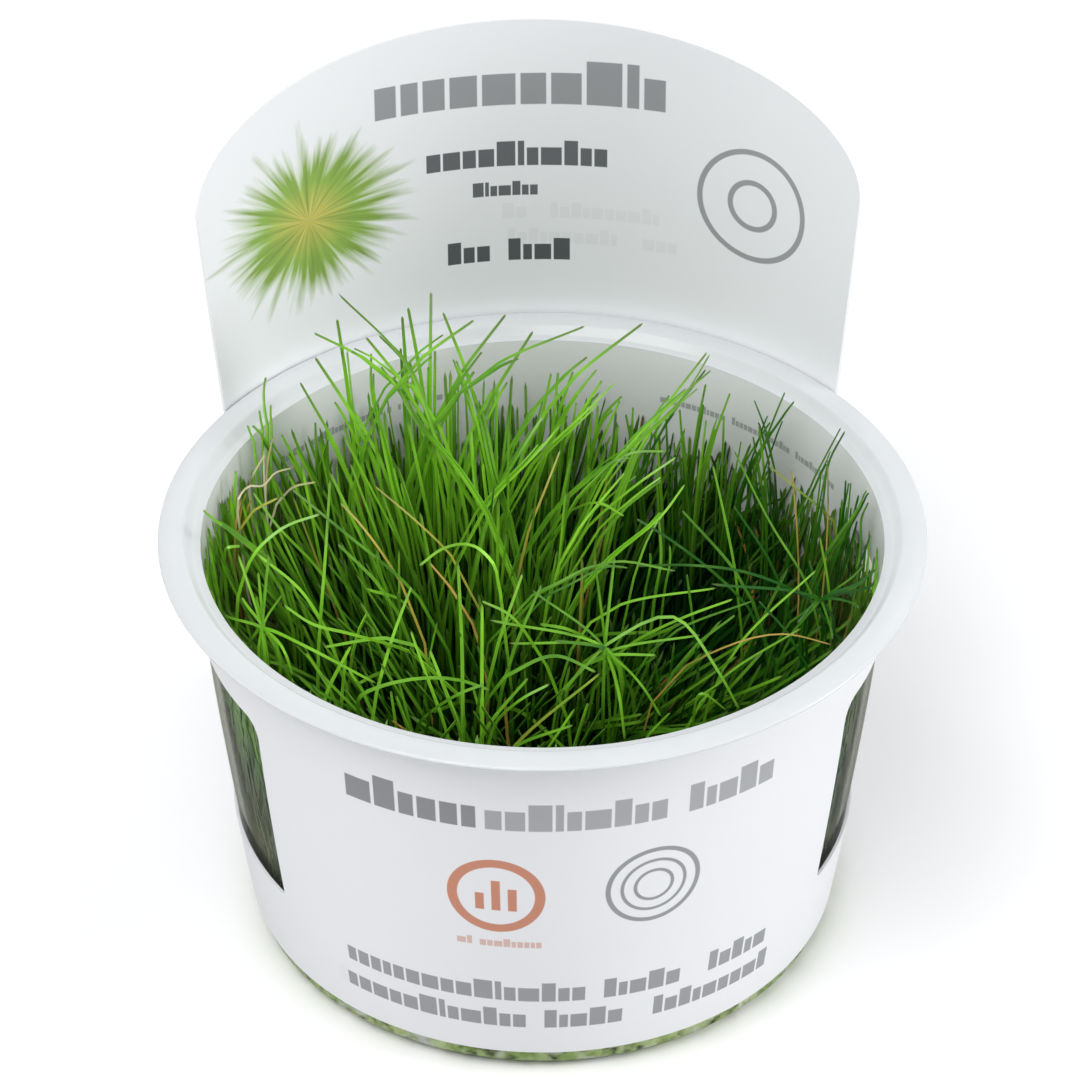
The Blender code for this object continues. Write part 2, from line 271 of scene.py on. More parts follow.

# How lively the green is, from 0 to 1, with painted light in the clump and at the left and painted shade at
# the right; pairs hold a mean and a scatter
USUAL_TONE = 0.26
TONE_SCATTER = 0.16
CLUMP_PAINTED_LIGHT = 0.24
CLUMP_PAINTED_LIGHT_SPREAD = 1.4
LEFT_PAINTED_LIGHT = 0.2
RIGHT_PAINTED_SHADE = 0.48
SEEN_FRESHER = 0.32
ROSETTE_FRESHER = 0.2
BUNDLE_TONE = (-0.1, 0.1)
WALL_BLADE_TONE = (0.25, 0.2)

# Ways that a blade grows: how often, how far it leans and how high its tip is, as shares of the
# canopy's height at its foot, where its knee lies, as shares of that tip's height and lean, and how
# much fresher its green is
Habit = namedtuple("Habit", "weight lean tip knee_height knee_reach fresher")
HABITS = (
    Habit(0.42, (0.06, 0.50), (0.60, 1.08), (0.50, 0.62), (0.26, 0.46), -0.06),
    Habit(0.32, (0.35, 0.95), (0.70, 1.04), (0.52, 0.64), (0.34, 0.50), 0.06),
    Habit(0.13, (0.50, 1.05), (0.92, 1.14), (0.64, 0.78), (0.42, 0.54), 0.38),
    Habit(0.03, (0.35, 0.70), (0.75, 0.95), (0.95, 1.10), (0.30, 0.50), 0.20),
    Habit(0.18, (0.02, 0.30), (0.35, 0.70), (0.50, 0.70), (0.20, 0.40), -0.10),
)

# Blades that stand out, by where the photo shows them from the tip down: pixels of the 1080 x 1080
# frame, heights in millimetres, and how dry they are
Seen = namedtuple("Seen", "pixels heights dryness", defaults=(0,))
TALL_BLADES = (
    Seen(((338, 293), (405, 362), (443, 455), (488, 530)), (79, 72, 62, 50)),
    Seen(((314, 333), (360, 356)), (74, 71)), Seen(((337, 319), (345, 370)), (76, 68)),
    Seen(((366, 337), (402, 382)), (74, 68)), Seen(((402, 316), (406, 372)), (77, 68)),
    Seen(((408, 307), (420, 372)), (78, 68)), Seen(((431, 292), (430, 372)), (79, 68)),
    Seen(((443, 312), (466, 370)), (77, 69)), Seen(((474, 320), (424, 356)), (76, 72)),
    Seen(((506, 314), (462, 372)), (77, 69)), Seen(((533, 331), (496, 390)), (74, 66)),
    Seen(((585, 326), (500, 362)), (75, 71)), Seen(((643, 323), (578, 374)), (76, 69)),
    Seen(((315, 357), (352, 414)), (72, 64)), Seen(((300, 382), (336, 446)), (69, 60)),
    Seen(((266, 377), (258, 420)), (68, 61)), Seen(((241, 423), (252, 470)), (63, 56)),
    Seen(((190, 510), (226, 528)), (63, 61)), Seen(((228, 469), (224, 510)), (60, 54)),
    Seen(((707, 352), (660, 414)), (71, 65)), Seen(((706, 369), (668, 420)), (69, 62)),
    Seen(((706, 384), (699, 420)), (63, 57)), Seen(((730, 393), (716, 432)), (62, 56)),
    Seen(((754, 400), (766, 432)), (62, 57)), Seen(((785, 392), (770, 428)), (63, 58)),
    Seen(((797, 400), (772, 432)), (62, 57)), Seen(((842, 427), (816, 474)), (64, 58)),
    Seen(((880, 489), (853, 520)), (61, 57)), Seen(((850, 479), (846, 520)), (59, 53)),
    Seen(((558, 372), (553, 424)), (61, 54)), Seen(((602, 380), (574, 424)), (60, 54)),
    Seen(((620, 400), (600, 444)), (58, 52)), Seen(((315, 422), (316, 464)), (58, 51)),
    Seen(((241, 422), (259, 442)), (62, 58)), Seen(((275, 432), (291, 456)), (58, 54)),
    Seen(((329, 435), (320, 467)), (57, 51)),
    Seen(((710, 354), (683, 397), (620, 455), (576, 499)), (71, 68, 63, 57)),
    Seen(((711, 370), (685, 392), (637, 436), (601, 484)), (69, 67, 63, 57)),
    Seen(((676, 457), (637, 484), (596, 518)), (62, 61, 57)),
    Seen(((615, 382), (576, 421), (540, 455)), (65, 62, 58)),
    Seen(((622, 396), (605, 414), (596, 436)), (61, 58, 54)),
    Seen(((597, 369), (574, 397), (554, 431)), (66, 63, 58)),
    Seen(((666, 451), (625, 455), (564, 501)), (60, 63, 58)),
    Seen(((685, 484), (659, 518), (613, 557), (586, 586)), (62, 61, 57, 53)),
    Seen(((659, 518), (661, 562), (656, 591)), (60, 56, 52)),
    Seen(((676, 571), (610, 562), (564, 581), (540, 593)), (60, 61, 59, 57)),
    Seen(((393, 377), (413, 416), (459, 471), (488, 517)), (68, 66, 61, 57)),
    Seen(((347, 350), (354, 416), (364, 474)), (67, 61, 54)),
    Seen(((371, 353), (371, 389), (386, 450)), (70, 66, 58)),
    Seen(((466, 372), (480, 416), (493, 474), (507, 517)), (67, 63, 57, 52)),
    Seen(((558, 394), (527, 440), (497, 493), (483, 534)), (64, 61, 56, 52)),
    Seen(((560, 425), (539, 450), (493, 498)), (61, 60, 56)),
    Seen(((471, 430), (473, 464), (480, 522)), (62, 58, 51)),
    Seen(((379, 425), (393, 488), (403, 522)), (62, 55, 50)), Seen(((551, 373), (541, 420)), (61, 54)),
    Seen(((573, 371), (556, 420)), (61, 54)), Seen(((633, 407), (631, 450)), (56, 50)),
    Seen(((626, 414), (634, 455)), (55, 49)), Seen(((618, 425), (612, 462)), (54, 49)),
    Seen(((592, 411), (587, 452)), (56, 50)), Seen(((576, 402), (569, 450)), (57, 50)),
    Seen(((680, 409), (684, 462)), (59, 51)), Seen(((683, 431), (687, 474)), (56, 50)),
    Seen(((724, 416), (722, 470)), (59, 51)), Seen(((741, 441), (733, 484)), (56, 50)),
    Seen(((759, 425), (765, 480)), (59, 51)), Seen(((753, 436), (762, 486)), (58, 51)),
    Seen(((821, 474), (814, 530)), (60, 51)), Seen(((828, 460), (816, 520)), (62, 53)),
    Seen(((865, 494), (850, 532)), (60, 54)), Seen(((855, 482), (848, 525)), (60, 54)),
    Seen(((706, 420), (700, 470)), (58, 51)), Seen(((666, 414), (668, 462)), (58, 51)),
    Seen(((656, 424), (660, 470)), (57, 50)),
)
LYING_BLADES = (
    Seen(((716, 588), (622, 604)), (58, 56)), Seen(((733, 599), (684, 617), (633, 642)), (58, 57, 53)),
    Seen(((752, 601), (679, 629)), (57, 54)), Seen(((735, 615), (698, 643)), (57, 54)),
    Seen(((687, 574), (695, 635)), (60, 52)),
    Seen(((739, 709), (718, 671), (674, 617), (603, 647)), (50, 55, 60, 56)),
    Seen(((540, 624), (568, 629), (600, 646)), (58, 59, 55)), Seen(((595, 559), (605, 638)), (66, 55)),
    Seen(((661, 716), (644, 688), (607, 653)), (52, 56, 55)),
    Seen(((625, 740), (620, 699), (608, 655)), (50, 55, 55)), Seen(((700, 635), (612, 650)), (58, 55)),
    Seen(((656, 655), (612, 655)), (57, 55)), Seen(((596, 672), (559, 656), (514, 672)), (57, 58, 54)),
    Seen(((600, 673), (516, 744)), (58, 50), 0.35),
    Seen(((726, 710), (699, 694), (692, 727)), (51, 57, 50)), Seen(((670, 713), (649, 735)), (57, 52)),
    Seen(((801, 628), (726, 675)), (58, 53)), Seen(((839, 647), (785, 634), (696, 660)), (57, 59, 54), 0.8),
    Seen(((759, 601), (787, 632)), (58, 54)), Seen(((816, 570), (744, 638)), (60, 54)),
    Seen(((875, 582), (820, 601)), (59, 56)), Seen(((869, 566), (820, 601)), (60, 56)),
    Seen(((835, 640), (822, 602)), (56, 56)), Seen(((809, 560), (820, 600)), (61, 55)),
    Seen(((637, 566), (690, 565), (746, 572), (812, 600)), (58, 60, 60, 56)),
    Seen(((637, 519), (656, 530), (741, 598)), (59, 59, 54)), Seen(((682, 510), (734, 569)), (60, 54)),
    Seen(((713, 465), (724, 513), (734, 562)), (62, 57, 52)),
    Seen(((685, 484), (647, 540), (637, 567)), (60, 56, 53)), Seen(((661, 480), (627, 506)), (61, 58)),
    Seen(((624, 516), (600, 503), (569, 511)), (59, 62, 58)), Seen(((734, 506), (768, 557)), (57, 52)),
    Seen(((734, 450), (772, 525), (806, 581)), (60, 56, 52)),
    Seen(((768, 465), (797, 489), (826, 513)), (60, 57, 54), 0.4), Seen(((887, 491), (860, 518)), (61, 56)),
    Seen(((887, 501), (871, 518), (868, 545)), (60, 57, 54)), Seen(((882, 535), (870, 554)), (59, 55)),
    Seen(((854, 482), (852, 505)), (59, 54)),
    Seen(((847, 430), (828, 467), (823, 501), (814, 542)), (64, 59, 56, 50)),
    Seen(((820, 537), (828, 581)), (60, 54)),
    Seen(((284, 605), (316, 625), (349, 633), (414, 653)), (60, 60, 60, 57)),
    Seen(((376, 683), (306, 646), (265, 628)), (57, 58, 55)),
    Seen(((293, 676), (286, 654), (268, 632)), (53, 57, 55)), Seen(((240, 598), (262, 625)), (60, 55)),
    Seen(((258, 572), (263, 622)), (62, 54)), Seen(((258, 554), (305, 595), (321, 620)), (60, 57, 54)),
    Seen(((320, 514), (281, 529), (256, 551), (237, 599)), (60, 61, 60, 53)),
    Seen(((411, 587), (396, 626), (379, 681)), (64, 60, 54)),
    Seen(((411, 631), (424, 668), (445, 726)), (60, 57, 50)),
    Seen(((430, 650), (444, 686), (462, 736)), (60, 57, 49)),
    Seen(((490, 690), (460, 680), (391, 683), (364, 693), (359, 714)), (56, 58, 60, 58, 52)),
    Seen(((484, 684), (460, 693), (424, 717), (416, 731)), (58, 58, 54, 50)),
    Seen(((367, 613), (359, 630)), (59, 55)), Seen(((351, 646), (329, 688)), (59, 52)),
    Seen(((346, 650), (341, 704)), (58, 50)), Seen(((324, 647), (384, 638)), (57, 56)),
    Seen(((391, 691), (396, 724)), (57, 51)), Seen(((396, 696), (409, 731)), (57, 50)),
    Seen(((349, 671), (362, 691)), (56, 52)), Seen(((306, 653), (326, 683)), (57, 52)),
    Seen(((292, 468), (275, 473), (262, 486), (250, 486), (238, 497), (238, 533)),
         (59, 59, 58, 58, 58, 52), 1),
    Seen(((316, 482), (296, 486), (282, 498)), (59, 58, 55), 1),
    Seen(((264, 450), (264, 474)), (61, 57), 1),
    Seen(((265, 454), (253, 474), (247, 486)), (61, 59, 56), 1),
    Seen(((273, 437), (267, 467)), (62, 57), 0.95), Seen(((246, 493), (236, 522)), (58, 53), 0.85),
    Seen(((251, 500), (241, 526)), (57, 52), 0.85), Seen(((240, 500), (231, 526)), (57, 53), 0.8),
    Seen(((278, 498), (255, 510)), (60, 57), 0.6), Seen(((828, 457), (828, 518)), (60, 54), 0.7),
    Seen(((792, 470), (797, 525)), (59, 53), 0.7), Seen(((253, 492), (278, 526), (317, 567)), (61, 59, 55)),
    Seen(((292, 489), (342, 530), (411, 588)), (64, 62, 57)),
    Seen(((341, 503), (358, 521), (395, 572)), (64, 63, 58), 0.75),
    Seen(((338, 544), (375, 580)), (61, 57)), Seen(((240, 546), (226, 548), (221, 558)), (59, 60, 57)),
    Seen(((330, 480), (325, 560), (319, 640)), (64, 60, 52)),
    Seen(((419, 566), (442, 549), (476, 547), (491, 561), (499, 590)), (62, 64, 66, 65, 60)),
    Seen(((482, 601), (509, 614), (541, 656)), (62, 62, 56)),
    Seen(((560, 450), (543, 494), (532, 521)), (63, 59, 56), 0.7),
    Seen(((375, 486), (422, 526), (442, 545)), (64, 63, 61), 0.6),
    Seen(((430, 563), (451, 588)), (60, 57), 0.9), Seen(((458, 562), (462, 650), (463, 740)), (62, 56, 47)),
    Seen(((482, 603), (482, 735)), (60, 48)), Seen(((522, 574), (498, 643)), (61, 54)),
    Seen(((541, 585), (514, 648)), (61, 54)), Seen(((625, 472), (580, 527)), (64, 58)),
    Seen(((549, 684), (518, 701), (498, 719), (488, 744)), (58, 58, 55, 50)),
    Seen(((588, 703), (575, 745)), (57, 49)), Seen(((573, 725), (518, 745)), (55, 50)),
    Seen(((609, 719), (608, 739)), (55, 50)), Seen(((528, 678), (490, 723)), (58, 51)),
)

# Camera
FRAME_PIXELS = 1080
SENSOR_WIDTH = 36.0
CAMERA_LENS = 161.97
CAMERA_DISTANCE = 640 * MM
CAMERA_ELEVATION = math.radians(36.57)
CAMERA_TARGET = Vector((-0.33 * MM, 0, 57.9 * MM))
CAMERA_CLIP = 10 * MM

# Stage: a softbox's power is a share of the key light's
FLOOR_REACH = 4
SKY_COLOUR = (0.97, 0.98, 1, 1)
LIGHT_AIM = Vector((0, 0, 0.05))
Softbox = namedtuple("Softbox", "place size share")
SOFTBOXES = {
    "key": Softbox((-0.35, -0.55, 1.25), (0.9, 0.9), 1),
    "right_box": Softbox((1.2, -0.15, 0.4), (0.4, 0.7), 0.72),
    "left_box": Softbox((-1.2, -0.15, 0.4), (0.4, 0.7), 0.16),
}


def colour_property(name, description, default):
    """A colour that the sidebar shows."""
    return FloatVectorProperty(name=name, description=description, default=default,
                               subtype="COLOR", size=3, min=0, max=1)


def length_property(name, description, default):
    """A length that the sidebar shows."""
    return FloatProperty(name=name, description=description, default=default,
                         unit="LENGTH", min=0, precision=5)


def factor_property(name, description, default):
    """A share from nothing to all that the sidebar shows."""
    return FloatProperty(name=name, description=description, default=default,
                         subtype="FACTOR", min=0, max=1)


class CupSettings(bpy.types.PropertyGroup):
    """Sizes and finish of the cup."""
    rim_radius: length_property("Rim radius", "Outer radius of the rim flange", CUP_TOP.x)
    height: length_property("Height", "Height from the base to the rim", CUP_TOP.z)
    wall: length_property("Wall", "Thickness of the plastic", 0.7 * MM)
    clearness: factor_property("Clearness", "Share of the light that passes the bare wall", 0.985)
    wall_clearness: factor_property("Wall clearness", "Share of the light that passes the covered wall", 0.3)
    rim_clearness: factor_property("Rim clearness", "Share of the light that passes the rim", 0.3)
    colour: colour_property("Plastic", "Colour of the milky plastic", (0.95, 0.965, 0.96))
    # Painted shade: the rim is the same milky plastic in a darker colour, toning down the light on its top
    rim: colour_property("Rim", "Colour of the rim", (0.85, 0.875, 0.89))
    # Painted shade laid over the bare wall where it is seen edge on
    filled: colour_property("Filled", "Colour of the bare wall seen edge on", (0.16, 0.17, 0.07))


class SleeveSettings(bpy.types.PropertyGroup):
    """Thickness and print of the sleeve."""
    thickness: length_property("Thickness", "Thickness of the card", 0.4 * MM)
    card: colour_property("Card", "Colour of the bare card", (0.83, 0.84, 0.86))
    ink: colour_property("Ink", "Colour of the grey print", (0.09, 0.095, 0.105))
    accent: colour_property("Accent", "Colour of the warm print", (0.58, 0.24, 0.15))
    leaf: colour_property("Leaf", "Colour of the green print", (0.33, 0.52, 0.10))
    straw: colour_property("Straw", "Colour of the yellow print", (0.80, 0.62, 0.16))


class JellySettings(bpy.types.PropertyGroup):
    """Colours of the jelly and the roots in it."""
    colour: colour_property("Jelly", "Colour of the clear jelly", (0.72, 0.84, 0.45))
    shoots: colour_property("Shoots", "Colour of the green patches in the jelly", (0.24, 0.40, 0.06))
    # These dark bits, laid thickly over the jelly's top, are also painted shade under the dense grass
    debris: colour_property("Debris", "Colour of the dark bits in the jelly", (0.05, 0.07, 0.02))
    roots: colour_property("Roots", "Colour of the roots", (0.62, 0.66, 0.42))


class GrassSettings(bpy.types.PropertyGroup):
    """Number, width and colours of the blades."""
    blades: IntProperty(name="Blades", description="Blades in each tuft", default=108, min=1)
    half_width: length_property("Half width", "Half of a blade's usual width", 0.28 * MM)
    # The tone mixes these two greens; besides each blade's own green it carries painted light and painted
    # shade
    bright: colour_property("Bright", "Colour of the freshest blades", (0.29, 0.70, 0.035))
    deep: colour_property("Deep", "Colour of the deepest green blades", (0.008, 0.105, 0.0015))
    # Painted shade: the dark colour that the blades take low in the dense grass, near the jelly
    foot: colour_property("Foot", "Colour of the blades near the jelly", (0.004, 0.045, 0.001))
    tip: colour_property("Tip", "Colour of the blades' upper ends", (0.10, 0.14, 0.045))
    dry: colour_property("Dry", "Colour of dry stretches", (0.62, 0.36, 0.09))
    dead: colour_property("Dead", "Colour of dead blades", (0.84, 0.79, 0.56))
    pressed: colour_property("Pressed", "Colour of the low blades along the wall", (0.10, 0.12, 0.03))
    seed: IntProperty(name="Seed", description="Number that the growth starts from", default=7)


class StageSettings(bpy.types.PropertyGroup):
    """Floor, light and camera."""
    floor: colour_property("Floor", "Colour of the floor", (0.96, 0.96, 0.96))
    bounce: factor_property("Bounce", "Share of the floor's light that it throws back", 0.65)
    sky: FloatProperty(name="Sky", description="Strength of the light from all round", default=0.6, min=0)
    key: FloatProperty(name="Key", description="Power of the light overhead", default=11.6,
                       unit="POWER", min=0)


def settings(group):
    """The values that the sidebar holds for a group of pieces."""
    return getattr(bpy.context.scene, "hairgrass_" + group)


def held(value, low=0):
    """Holds a number between a low value and one."""
    return min(max(value, low), 1)


def feed(tree, node, inputs):
    """Gives inputs of a node their values, or links from other nodes."""
    for key, value in inputs.items():
        if isinstance(value, bpy.types.NodeSocket):
            tree.links.new(value, node.inputs[key])
        else:
            node.inputs[key].default_value = value


def add_node(tree, kind, inputs=None, **options):
    """Adds a node, sets its options and feeds its inputs."""
    node = tree.nodes.new(kind)
    for name, value in options.items():
        setattr(node, name, value)
    feed(tree, node, inputs or {})
    return node


def maths(tree, operation, *values, clamp=False):
    """Adds a Math node and gives its output."""
    inputs = dict(enumerate(values))
    return add_node(tree, "ShaderNodeMath", inputs, operation=operation, use_clamp=clamp).outputs[0]


def graded(tree, value, gain, offset, clamp=True):
    """A number times a gain, plus an offset."""
    return maths(tree, "MULTIPLY_ADD", value, gain, offset, clamp=clamp)


def ranged(tree, value, start, end):
    """Nothing where a number is at the start, one where it is at the end, and a share between them."""
    return add_node(tree, "ShaderNodeMapRange", {0: value, 1: start, 2: end}).outputs[0]


def split(tree, place):
    """The three parts of a place."""
    return add_node(tree, "ShaderNodeSeparateXYZ", {0: place}).outputs


def distance(tree, across, up):
    """Length of the slanting line between two places, from how far they are apart across and up."""
    squares = [maths(tree, "MULTIPLY", side, side) for side in (across, up)]
    return maths(tree, "SQRT", maths(tree, "ADD", *squares))


def mixed(tree, factor, first, second):
    """Mixes two colours and gives the result."""
    first, second = (colour if isinstance(colour, bpy.types.NodeSocket) else (*colour[:3], 1)
                     for colour in (first, second))
    inputs = {0: factor, 6: first, 7: second}
    return add_node(tree, "ShaderNodeMix", inputs, data_type="RGBA").outputs[2]


def new_group(name, inputs, output, kind="NodeSocketFloat"):
    """Starts a shader node group whose inputs are all numbers, apart from a Vector, with one output."""
    tree = bpy.data.node_groups.new(name, "ShaderNodeTree")
    for label, value in inputs.items():
        socket_type = "NodeSocketVector" if label == "Vector" else "NodeSocketFloat"
        socket = tree.interface.new_socket(label, in_out="INPUT", socket_type=socket_type)
        if label != "Vector":
            socket.default_value = value
    tree.interface.new_socket(output, in_out="OUTPUT", socket_type=kind)
    return tree, tree.nodes.new("NodeGroupInput").outputs, tree.nodes.new("NodeGroupOutput")


def use_group(tree, name, **inputs):
    """Places a node group in a material or in another group, and gives its output."""
    node = add_node(tree, "ShaderNodeGroup", node_tree=bpy.data.node_groups[name])
    feed(tree, node, {label.capitalize(): value for label, value in inputs.items()})
    return node.outputs[0]


def mottle(tree, place, scale, low=0.0, high=1.0):
    """Uses the group of soft cloudy variation."""
    return use_group(tree, "Mottle", vector=place, scale=scale, low=low, high=high)


def grain(tree, place, scale, strength):
    """Uses the group of a fine uneven surface."""
    return use_group(tree, "Grain", vector=place, scale=scale, strength=strength)


def given_noise(tree, given, detail):
    """Cloudy noise at the place and the scale that a group is given."""
    inputs = {"Vector": given["Vector"], "Scale": given["Scale"], "Detail": detail}
    return add_node(tree, "ShaderNodeTexNoise", inputs).outputs[0]


def make_mottle_group():
    """Soft cloudy variation between a low and a high value."""
    inputs = {"Vector": None, "Scale": 50.0, "Low": 0.0, "High": 1.0}
    tree, given, result = new_group("Mottle", inputs, "Value")
    cloud = given_noise(tree, given, detail=2.0)
    spread = {0: cloud, 1: CLOUD_LOW, 2: CLOUD_HIGH, 3: given["Low"], 4: given["High"]}
    feed(tree, result, {0: add_node(tree, "ShaderNodeMapRange", spread).outputs[0]})


def make_grain_group():
    """A fine uneven surface, as a normal."""
    inputs = {"Vector": None, "Scale": 400.0, "Strength": 0.1, "Depth": 0.05 * MM}
    tree, given, result = new_group("Grain", inputs, "Normal", "NodeSocketVector")
    rise = given_noise(tree, given, detail=3.0)
    bump = {"Strength": given["Strength"], "Distance": given["Depth"], "Height": rise}
    feed(tree, result, {0: add_node(tree, "ShaderNodeBump", bump).outputs[0]})


def soft_edge(tree, inside):
    """One inside a printed shape and nothing outside it, by how far inside its edge a place is."""
    return graded(tree, inside, gain=PRINT_SHARPNESS, offset=0.5)


def make_bar_group():
    """A printed bar: one inside its four sides, with slightly soft edges. All in millimetres."""
    inputs = {"Across": 0.0, "Up": 0.0, "Left": -5.0, "Right": 5.0, "Low": 0.0, "High": 1.0}
    tree, given, result = new_group("Bar", inputs, "Mask")
    sides = (("Across", "Left"), ("Right", "Across"), ("Up", "Low"), ("High", "Up"))
    depths = [maths(tree, "SUBTRACT", given[far], given[near]) for far, near in sides]
    level, upright = (maths(tree, "MINIMUM", *pair) for pair in (depths[:2], depths[2:]))
    feed(tree, result, {0: soft_edge(tree, maths(tree, "MINIMUM", level, upright))})


def make_row_group():
    """A printed row of plain blocks of uneven width and height, in uneven runs. All in millimetres."""
    inputs = {"Across": 0.0, "Up": 0.0, "Left": -5.0, "Right": 5.0, "Low": 0.0, "High": 1.0,
              "Pitch": 1.0, "Start": 0.0}
    tree, given, result = new_group("Row", inputs, "Mask")
    count = maths(tree, "ADD", maths(tree, "DIVIDE", given["Across"], given["Pitch"]), given["Start"])
    edge, cell = (add_node(tree, "ShaderNodeTexVoronoi", {"W": count, "Scale": 1.0},
                           voronoi_dimensions="1D", feature=feature).outputs
                  for feature in ("DISTANCE_TO_EDGE", "F1"))
    between = graded(tree, edge["Distance"], gain=BLOCK_SHARPNESS, offset=-BLOCK_GAP)
    chance = add_node(tree, "ShaderNodeSeparateColor", {0: cell["Color"]}).outputs
    inked = maths(tree, "LESS_THAN", chance[1], INKED_BLOCKS)
    tall = maths(tree, "GREATER_THAN", chance[0], LOW_BLOCKS)
    height = graded(tree, tall, gain=1 - LOW_BLOCK_HEIGHT, offset=LOW_BLOCK_HEIGHT, clamp=False)
    room = maths(tree, "SUBTRACT", given["High"], given["Low"])
    top = maths(tree, "MULTIPLY_ADD", room, height, given["Low"])
    middle = maths(tree, "MULTIPLY", maths(tree, "SUBTRACT", cell["W"], given["Start"]), given["Pitch"])
    sides = {label: given[label.capitalize()] for label in ("up", "left", "right", "low")}
    band = use_group(tree, "Bar", across=middle, high=top, **sides)
    mask = maths(tree, "MULTIPLY", maths(tree, "MULTIPLY", between, inked), band)
    feed(tree, result, {0: mask})


def make_ring_group():
    """A printed round line about a centre. All in millimetres."""
    inputs = {"Across": 0.0, "Up": 0.0, "Middle": 0.0, "Level": 0.0, "Radius": 6.0, "Line": 1.0}
    tree, given, result = new_group("Ring", inputs, "Mask")
    away = distance(tree, maths(tree, "SUBTRACT", given["Across"], given["Middle"]),
                    maths(tree, "SUBTRACT", given["Up"], given["Level"]))
    off_line = maths(tree, "ABSOLUTE", maths(tree, "SUBTRACT", away, given["Radius"]))
    inside = maths(tree, "SUBTRACT", maths(tree, "MULTIPLY", given["Line"], 0.5), off_line)
    feed(tree, result, {0: soft_edge(tree, inside)})


def make_groups():
    """Makes every node group that the materials share."""
    make_mottle_group()
    make_grain_group()
    make_bar_group()
    make_row_group()
    make_ring_group()


def cloudy(tree, place, colour, scale, darkest):
    """A colour with soft clouds, which are at their darkest a share of it."""
    colour = Vector(colour)
    return mixed(tree, mottle(tree, place, scale), colour * darkest, colour)


def new_material(name):
    """Starts a material and gives it with its node tree, its shader and the object coordinates."""
    material = bpy.data.materials.new(name)
    material.use_nodes = True
    tree = material.node_tree
    place = tree.nodes.new("ShaderNodeTexCoord").outputs["Object"]
    return material, tree, tree.nodes["Principled BSDF"], place


def overlay(material, mask, colour):
    """Lays a colour over a material's own where a mask says."""
    tree = material.node_tree
    base = tree.nodes["Principled BSDF"].inputs["Base Color"]
    tree.links.new(mixed(tree, mask, base.links[0].from_socket, colour), base)


def plastic_material(name, colour, clearness, ior, roughness, unevenness):
    """Clear or milky plastic with a soft gloss and faint clouding."""
    material, tree, shader, place = new_material(name)
    feed(tree, shader, {
        "Base Color": cloudy(tree, place, colour, scale=60.0, darkest=0.97),
        "Roughness": mottle(tree, place, 35.0, *roughness),
        "Transmission Weight": clearness,
        "IOR": ior,
        "Normal": grain(tree, place, scale=260.0, strength=unevenness)})
    return material


def rim_material():
    """The milky plastic of the rim, in a darker colour than the wall's: painted shade that tones down the
    light on its top.
    """
    cup = settings("cup")
    return plastic_material("cup_rim", cup.rim, cup.rim_clearness,
                            ior=1.4, roughness=(0.14, 0.22), unevenness=0.0)


def wall_material():
    """The milky covered wall, with rows of small dark print round the back."""
    cup = settings("cup")
    material = plastic_material("cup_wall", cup.colour, cup.wall_clearness,
                                ior=1.25, roughness=(0.16, 0.22), unevenness=0.05)
    tree = material.node_tree
    sideways, back, height = split(tree, tree.nodes["Texture Coordinate"].outputs["Object"])
    across = maths(tree, "MULTIPLY", maths(tree, "ARCTAN2", sideways, back), WALL_TOP_RADIUS / MM)
    up = maths(tree, "MULTIPLY", height, 1 / MM)
    overlay(material, print_mask(tree, across, up, WALL_PRINT), settings("sleeve").ink)
    return material


def bare_material():
    """The clear wall at the windows: seen edge on, it is painted the dark olive of the blades pressed behind
    it, as painted shade that hides its sheen.
    """
    cup = settings("cup")
    material = plastic_material("cup_bare", cup.colour, cup.clearness,
                                ior=1.02, roughness=(0.06, 0.10), unevenness=0.05)
    tree = material.node_tree
    edge_on = add_node(tree, "ShaderNodeLayerWeight", {"Blend": 0.5}).outputs["Facing"]
    # Painted shade: the wall turns dark olive where it is seen edge on
    overlay(material, graded(tree, edge_on, gain=4.5, offset=-3.2), cup.filled)
    return material


def spotted(tree, place, colour, spot, scale, low, high):
    """Lays spots of another colour over one, wherever a mottle between two values is above zero."""
    spots = maths(tree, "MAXIMUM", mottle(tree, place, scale, low, high), 0.0, clamp=True)
    return mixed(tree, spots, colour, spot)


def foot_material():
    """Plastic that the jelly and the roots show through, in green, dark and pale patches."""
    material, tree, shader, place = new_material("cup_foot")
    jelly = settings("jelly")
    colour = mixed(tree, mottle(tree, place, scale=420.0), jelly.shoots, jelly.colour)
    colour = spotted(tree, place, colour, jelly.debris, scale=600.0, low=-0.8, high=1.0)
    colour = spotted(tree, place, colour, settings("cup").colour, scale=230.0, low=-0.9, high=0.7)
    feed(tree, shader, {
        "Base Color": colour,
        "Roughness": mottle(tree, place, scale=35.0, low=0.16, high=0.24),
        "Transmission Weight": 0.35,
        "IOR": 1.3})
    return material


def sleeve_place(tree):
    """Distance round the sleeve from its back centre, and height, both in millimetres."""
    parts = split(tree, add_node(tree, "ShaderNodeUVMap", uv_map="blank").outputs[0])
    return [maths(tree, "MULTIPLY", part, 1 / MM) for part in parts[:2]]


def print_mask(tree, across, up, marks):
    """Joins the masks of printed rows, rings and bars; each kind of mark has a node group of its name."""
    mask = 0.0
    for index, mark in enumerate(marks):
        sizes = mark._asdict()
        strength = sizes.pop("strength")
        if isinstance(mark, Row):
            sizes["start"] = ROW_SHIFT * index
        shape = use_group(tree, type(mark).__name__, across=across, up=up, **sizes)
        mask = maths(tree, "MAXIMUM", maths(tree, "MULTIPLY", shape, strength), mask)
    return mask


def card_finish(material, tree, shader, place, colour):
    """Gives printed card its soft gloss and its faint unevenness."""
    feed(tree, shader, {
        "Base Color": colour,
        "Roughness": mottle(tree, place, scale=70.0, low=0.34, high=0.46),
        "Normal": grain(tree, place, scale=500.0, strength=0.06)})
    return material


def bare_card(tree, place):
    """The white card, with a faint cloudiness."""
    return cloudy(tree, place, settings("sleeve").card, scale=25.0, darkest=0.975)


